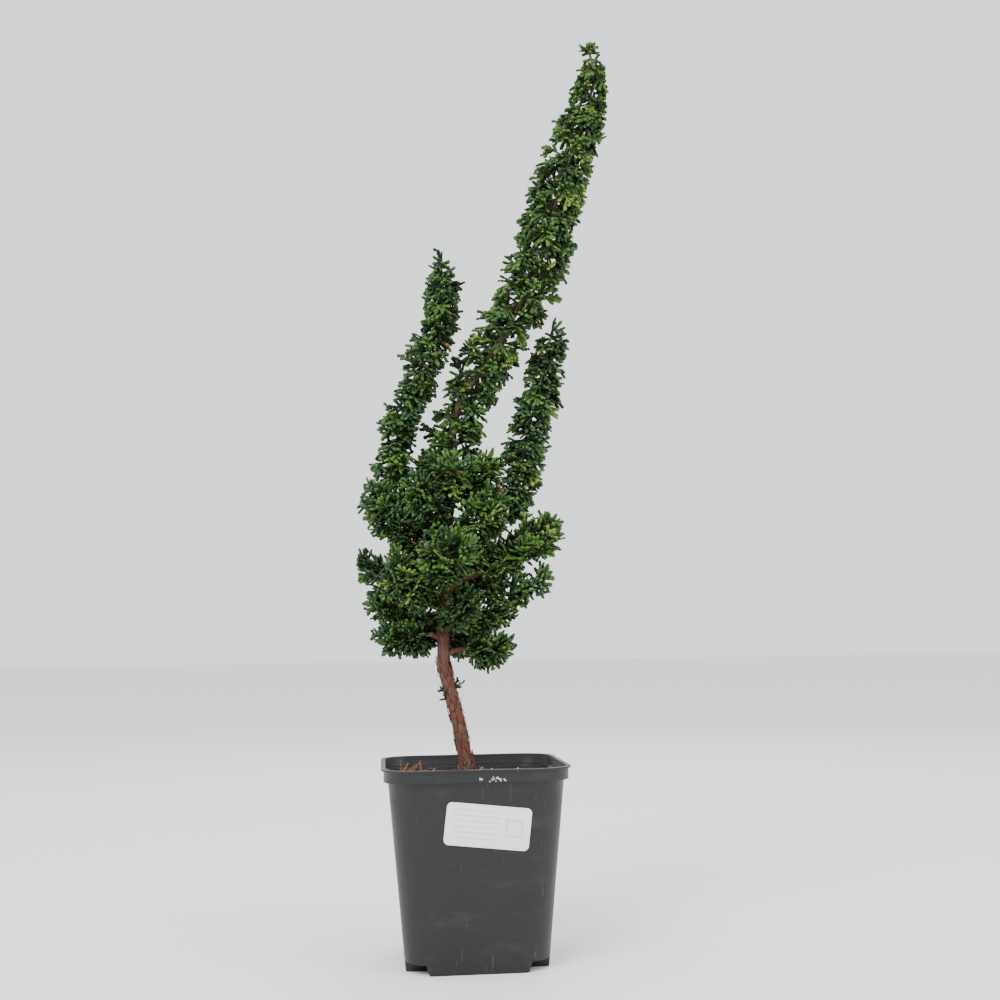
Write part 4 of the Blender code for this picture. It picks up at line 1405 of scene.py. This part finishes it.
class BONSAI_OT_pot(bpy.types.Operator):
    """Make the pot with its band, lip, corner steps and marks."""

    bl_idname = "bonsai.pot"
    bl_label = "Pot"

    def execute(self, context):
        settings = context.scene.bonsai_pot
        pot = add_piece(
            "square_pot", pot_surface(settings.edge), [plastic_material(settings.colour)], "pot",
            smooth=50,
        )
        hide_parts("pot")
        rng = np.random.default_rng(7)
        spots = MM * np.vstack([
            rng.normal(middle, spread, (count, 3)) for middle, spread, count in LIME_PATCHES
        ])
        spots[:, 1] = -BAND_SIDE / 2
        spots[:, 2] = spots[:, 2].clip(SHOULDER + 0.8 * MM, LIP - 0.8 * MM)
        sizes = rng.uniform(0.2, 0.85, (len(spots), 1)) * MM * (1, 0.12, 0.6)
        lime = soil_material("lime", *LIME_TONES, 900)
        add_piece("lime_flecks", flat_flecks(spots, sizes, rng), [lime], "pot")
        return {"FINISHED"}


class BONSAI_OT_label(bpy.types.Operator):
    """Make the sticker with plain ruled lines."""

    bl_idname = "bonsai.label"
    bl_label = "Sticker"

    def execute(self, context):
        settings = context.scene.bonsai_pot
        surface, uv = label_surface()
        label = add_piece(
            "sticker", surface, [label_material(settings.paper, settings.ink)], "label", uv=uv
        )
        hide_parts("label")
        return {"FINISHED"}


class BONSAI_OT_soil(bpy.types.Operator):
    """Make the soil with crumbs, shreds of bark, root hairs and small stones."""

    bl_idname = "bonsai.soil"
    bl_label = "Soil"

    def execute(self, context):
        settings = context.scene.bonsai_soil
        rng = np.random.default_rng(11)
        earth = soil_material("soil", settings.dark, settings.light, 420)
        soil = add_piece("soil_bed", soil_surface(settings.relief, rng), [earth], "soil")
        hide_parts("soil")
        half = wall_side(SOIL_TOP, WALL) / 2 - 2.5 * MM
        self.scatter("soil_crumbs", settings.crumbs, half, (0.6, 1.7), earth, rng)
        pale = soil_material("stone", *STONE_TONES, 500)
        self.scatter("soil_stones", 26, half, (0.7, 1.4), pale, rng)
        moss = soil_material("moss", *MOSS_TONES, 900)
        self.scatter("soil_moss", 160, half, (0.5, 1.1), moss, rng)
        red = soil_material("bark_shreds", *SHRED_TONES, 700)
        self.shreds("soil_shreds", 150, half, (5, 14), (0.8, 2.6), red, rng)
        dark = soil_material("root_hairs", *ROOT_TONES, 700)
        self.shreds("soil_roots", 260, half, (6, 18), (0.25, 0.5), dark, rng)
        self.curls("soil_curls", 18, red, rng)
        return {"FINISHED"}

    def curls(self, name, count, material, rng):
        """Bars that stand up from the soil near the left wall."""
        starts = rng.uniform(STANDING_FROM, STANDING_TO, (count, 3)) * MM
        directions = unit(rng.uniform((-0.9, -0.6, 0.12), (0.7, 0.5, 0.62), (count, 3)))
        flats = unit(np.cross(directions, np.array([0.2, 1, 0.1])))
        width = rng.uniform(0.3, 1.5, count) * MM
        lengths = rng.uniform(9, 15, count) * MM
        bend = rng.uniform(-0.3, 0.3, count)
        thick = np.minimum(width, 0.45 * MM)
        surface = bars(starts, directions, flats, lengths, width, thick, bend)
        add_piece(name, surface, [material], "soil")

    def scatter(self, name, count, half, sizes, material, rng):
        """Lumps that lie all over the soil."""
        spots = within_corners(rng.uniform(-half, half, (count, 2)), half)
        height = soil_height(spots) + rng.uniform(-0.4, 0.9, count) * MM
        size = rng.uniform(*sizes, (count, 3)) * MM
        add_piece(name, lumps(np.column_stack([spots, height]), size, rng), [material], "soil")

    def shreds(self, name, count, half, lengths, widths, material, rng):
        """Bars that lie all over the soil, with their ends inside the wall."""
        length = rng.uniform(*lengths, count) * MM
        turns = rng.uniform(0, 2 * math.pi, count)
        rise = rng.uniform(-0.02, 0.16, count)
        directions = unit(np.column_stack([np.cos(turns), np.sin(turns), rise]))
        flats = unit(np.cross(UP, directions))
        inner = half - length[:, None] / 2
        middles = within_corners(rng.uniform(-1, 1, (count, 2)) * inner, inner - 3 * MM)
        height = soil_height(middles) + rng.uniform(0.3, 1.3, count) * MM
        starts = np.column_stack([middles, height]) - directions * length[:, None] / 2
        starts[:, 2] = height
        width = rng.uniform(*widths, count) * MM
        thick = np.minimum(width, 0.5 * MM)
        bend = rng.uniform(-0.25, 0.05, count) * -0.5
        add_piece(
            name, bars(starts, directions, flats, length, width, thick, bend), [material], "soil"
        )


class BONSAI_OT_bark(bpy.types.Operator):
    """Make the bark of the stem and boughs, with its furrows and lifted flakes."""

    bl_idname = "bonsai.bark"
    bl_label = "Bark"

    def execute(self, context):
        settings = context.scene.bonsai_bark
        rng = np.random.default_rng(23)
        bark = bark_material(settings.red, settings.grey, settings.young)
        limbs = all_limbs()
        trunk = limbs["trunk"]
        parts = [bark_surface(trunk, 36, settings.relief, rng, level_foot=True)]
        for bough in BOUGHS:
            limb = limbs[bough.name]
            foot, _ = at_height(trunk.points, bough.height * MM)
            rooted = Limb(np.vstack([foot, limb.points]), np.append(limb.radii[0], limb.radii))
            parts.append(bark_surface(rooted, 16, settings.relief, rng))
        piece = add_piece("bark", joined(*parts), [bark], "bark", smooth=0)
        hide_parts(*limbs)
        add_piece("bark_flakes", flake_bars(trunk, settings.flakes, rng), [bark], "bark")
        return {"FINISHED"}


class BONSAI_OT_foliage(bpy.types.Operator):
    """Grow the twigs and sprays of every mass."""

    bl_idname = "bonsai.foliage"
    bl_label = "Foliage"

    def execute(self, context):
        settings = context.scene.bonsai_foliage
        limbs = all_limbs()
        branches = all_branches(limbs)
        growth = Growth()
        for seed, name in enumerate(branches, FIRST_SEED):
            test = room_test(name, branches, limbs)
            grow(name, branches[name], test, seed, settings, growth)
        add_sprouts(limbs["trunk"], settings, growth)
        nodes = mass_nodes()
        twig_paint = leaf_material("twig_bark", settings.twig, 0.7)
        twigs = add_piece("twigs", twig_surface(growth.twigs), [twig_paint], "bark")
        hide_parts(*nodes)
        fingers = inside_reach(growth.fingers)
        most = MOST_TRIANGLES // FINGER_TRIANGLES
        for number, tint in enumerate(TINTS):
            rows = [row for row in fingers if row[6] == number]
            colour = getattr(settings, tint)
            tip = [min(1, c * t + p) for c, t, p in zip(colour, TIP_TIMES, TIP_PLUS)]
            paints = [leaf_material(f"leaf_{tint}", colour), leaf_material(f"tip_{tint}", tip)]
            for part, first in enumerate(range(0, len(rows), most)):
                surface, slots = finger_surface(rows[first:first + most])
                piece = add_piece(
                    f"sprays_{tint}_{part + 1}", surface, paints, "foliage", smooth=0,
                    slots=slots,
                )
                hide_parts(*nodes)
        return {"FINISHED"}


class BONSAI_OT_stage(bpy.types.Operator):
    """Set the pale floor, the soft lights and the camera."""

    bl_idname = "bonsai.stage"
    bl_label = "Stage"

    def execute(self, context):
        settings = context.scene.bonsai_stage
        self.floor(settings)
        for name, place, size, power in LAMPS:
            self.light(name, np.array(place), size, getattr(settings, power))
        world = bpy.data.worlds.new("sky")
        world.use_nodes = True
        sky = world.node_tree.nodes["Background"]
        sky.inputs["Color"].default_value = (0.95, 0.97, 1, 1)
        sky.inputs["Strength"].default_value = settings.sky
        context.scene.world = world
        self.camera(context.scene)
        return {"FINISHED"}

    def floor(self, settings):
        """Wide flat disc: circles of shrinking radius round +Z, closed at the middle. The
        fan and the point that would close the outer circle are left out."""
        turns = np.linspace(0, 2 * math.pi, FLOOR_AROUND, endpoint=False)
        radii = FLOOR_RADII[:, None]
        level = np.zeros((len(radii), FLOOR_AROUND))
        rings = np.stack([radii * np.cos(turns), radii * np.sin(turns), level], axis=-1)
        vertices, quads, triangles = ring_surface(rings)
        triangles = triangles[FLOOR_AROUND:]
        outer_middle = len(vertices) - 2
        vertices = np.delete(vertices, outer_middle, axis=0)
        triangles[triangles > outer_middle] = outer_middle
        paint = Paint("floor", settings.floor, 0.9)
        piece = add_piece("floor", (vertices, quads, triangles), [paint.material], None)

    def light(self, name, place, size, power):
        """A round lamp that faces the plant."""
        lamp = bpy.data.lights.new(name, "AREA")
        lamp.shape = "DISK"
        lamp.size = size
        lamp.energy = power
        obj = bpy.data.objects.new(name, lamp)
        bpy.context.scene.collection.objects.link(obj)
        back = unit(place - LIT_POINT)
        side, up = side_vectors(back, 0)
        set_matrix(obj, side, up, back, place)

    def camera(self, scene):
        """The photograph's camera: its view turned to the right by the yaw, down by the
        pitch and then about itself by the roll."""
        sin_yaw, cos_yaw = math.sin(CAMERA_YAW), math.cos(CAMERA_YAW)
        sin_pitch, cos_pitch = math.sin(CAMERA_PITCH), math.cos(CAMERA_PITCH)
        sin_roll, cos_roll = math.sin(CAMERA_ROLL), math.cos(CAMERA_ROLL)
        forward = np.array(CAMERA_VIEW)
        level = np.array([cos_yaw, -sin_yaw, 0])
        steep = np.array([-sin_yaw * sin_pitch, -cos_yaw * sin_pitch, -cos_pitch])
        right = level * cos_roll - steep * sin_roll
        down = level * sin_roll + steep * cos_roll
        lens = bpy.data.cameras.new("camera")
        lens.sensor_width = SENSOR_MM
        lens.lens = FOCAL_PIXELS / PHOTO_PIXELS * SENSOR_MM
        camera = bpy.data.objects.new("camera", lens)
        scene.collection.objects.link(camera)
        set_matrix(camera, right, -down, -forward, CAMERA_PLACE)
        scene.camera = camera


def set_matrix(obj, x_axis, y_axis, z_axis, place):
    """Place an object by its three axes."""
    rows = np.column_stack([x_axis, y_axis, z_axis, place])
    obj.matrix_world = Matrix(np.vstack([rows, (0, 0, 0, 1)]).tolist())


class BONSAI_PT_panel(bpy.types.Panel):
    """The bonsai's pieces."""

    bl_idname = "BONSAI_PT_panel"
    bl_label = "Bonsai"
    bl_space_type = "VIEW_3D"
    bl_region_type = "UI"
    bl_category = "Bonsai"

    def draw(self, context):
        for group, operators in GROUPS.items():
            settings = getattr(context.scene, group)
            box = self.layout.box()
            for name in settings.__annotations__:
                box.prop(settings, name)
            for operator in operators:
                box.operator(operator.bl_idname)


SETTINGS = {
    "bonsai_pot": PotSettings,
    "bonsai_soil": SoilSettings,
    "bonsai_bark": BarkSettings,
    "bonsai_foliage": FoliageSettings,
    "bonsai_stage": StageSettings,
}

GROUPS = {
    "bonsai_pot": (BONSAI_OT_pot, BONSAI_OT_label),
    "bonsai_soil": (BONSAI_OT_soil,),
    "bonsai_bark": (BONSAI_OT_bark,),
    "bonsai_foliage": (BONSAI_OT_foliage,),
    "bonsai_stage": (BONSAI_OT_stage,),
}


def register():
    """Add the settings, operators and panel."""
    for name, group in SETTINGS.items():
        bpy.utils.register_class(group)
        setattr(bpy.types.Scene, name, PointerProperty(type=group))
    for operators in GROUPS.values():
        for operator in operators:
            bpy.utils.register_class(operator)
    bpy.utils.register_class(BONSAI_PT_panel)


def unregister():
    """Take the panel, operators and settings away."""
    bpy.utils.unregister_class(BONSAI_PT_panel)
    for operators in GROUPS.values():
        for operator in operators:
            bpy.utils.unregister_class(operator)
    for name, group in SETTINGS.items():
        delattr(bpy.types.Scene, name)
        bpy.utils.unregister_class(group)


def main():
    """Make every piece."""
    register()
    bpy.ops.bonsai.stage()
    bpy.ops.bonsai.pot()
    bpy.ops.bonsai.label()
    bpy.ops.bonsai.soil()
    bpy.ops.bonsai.bark()
    bpy.ops.bonsai.foliage()


if __name__ == "__main__":
    main()
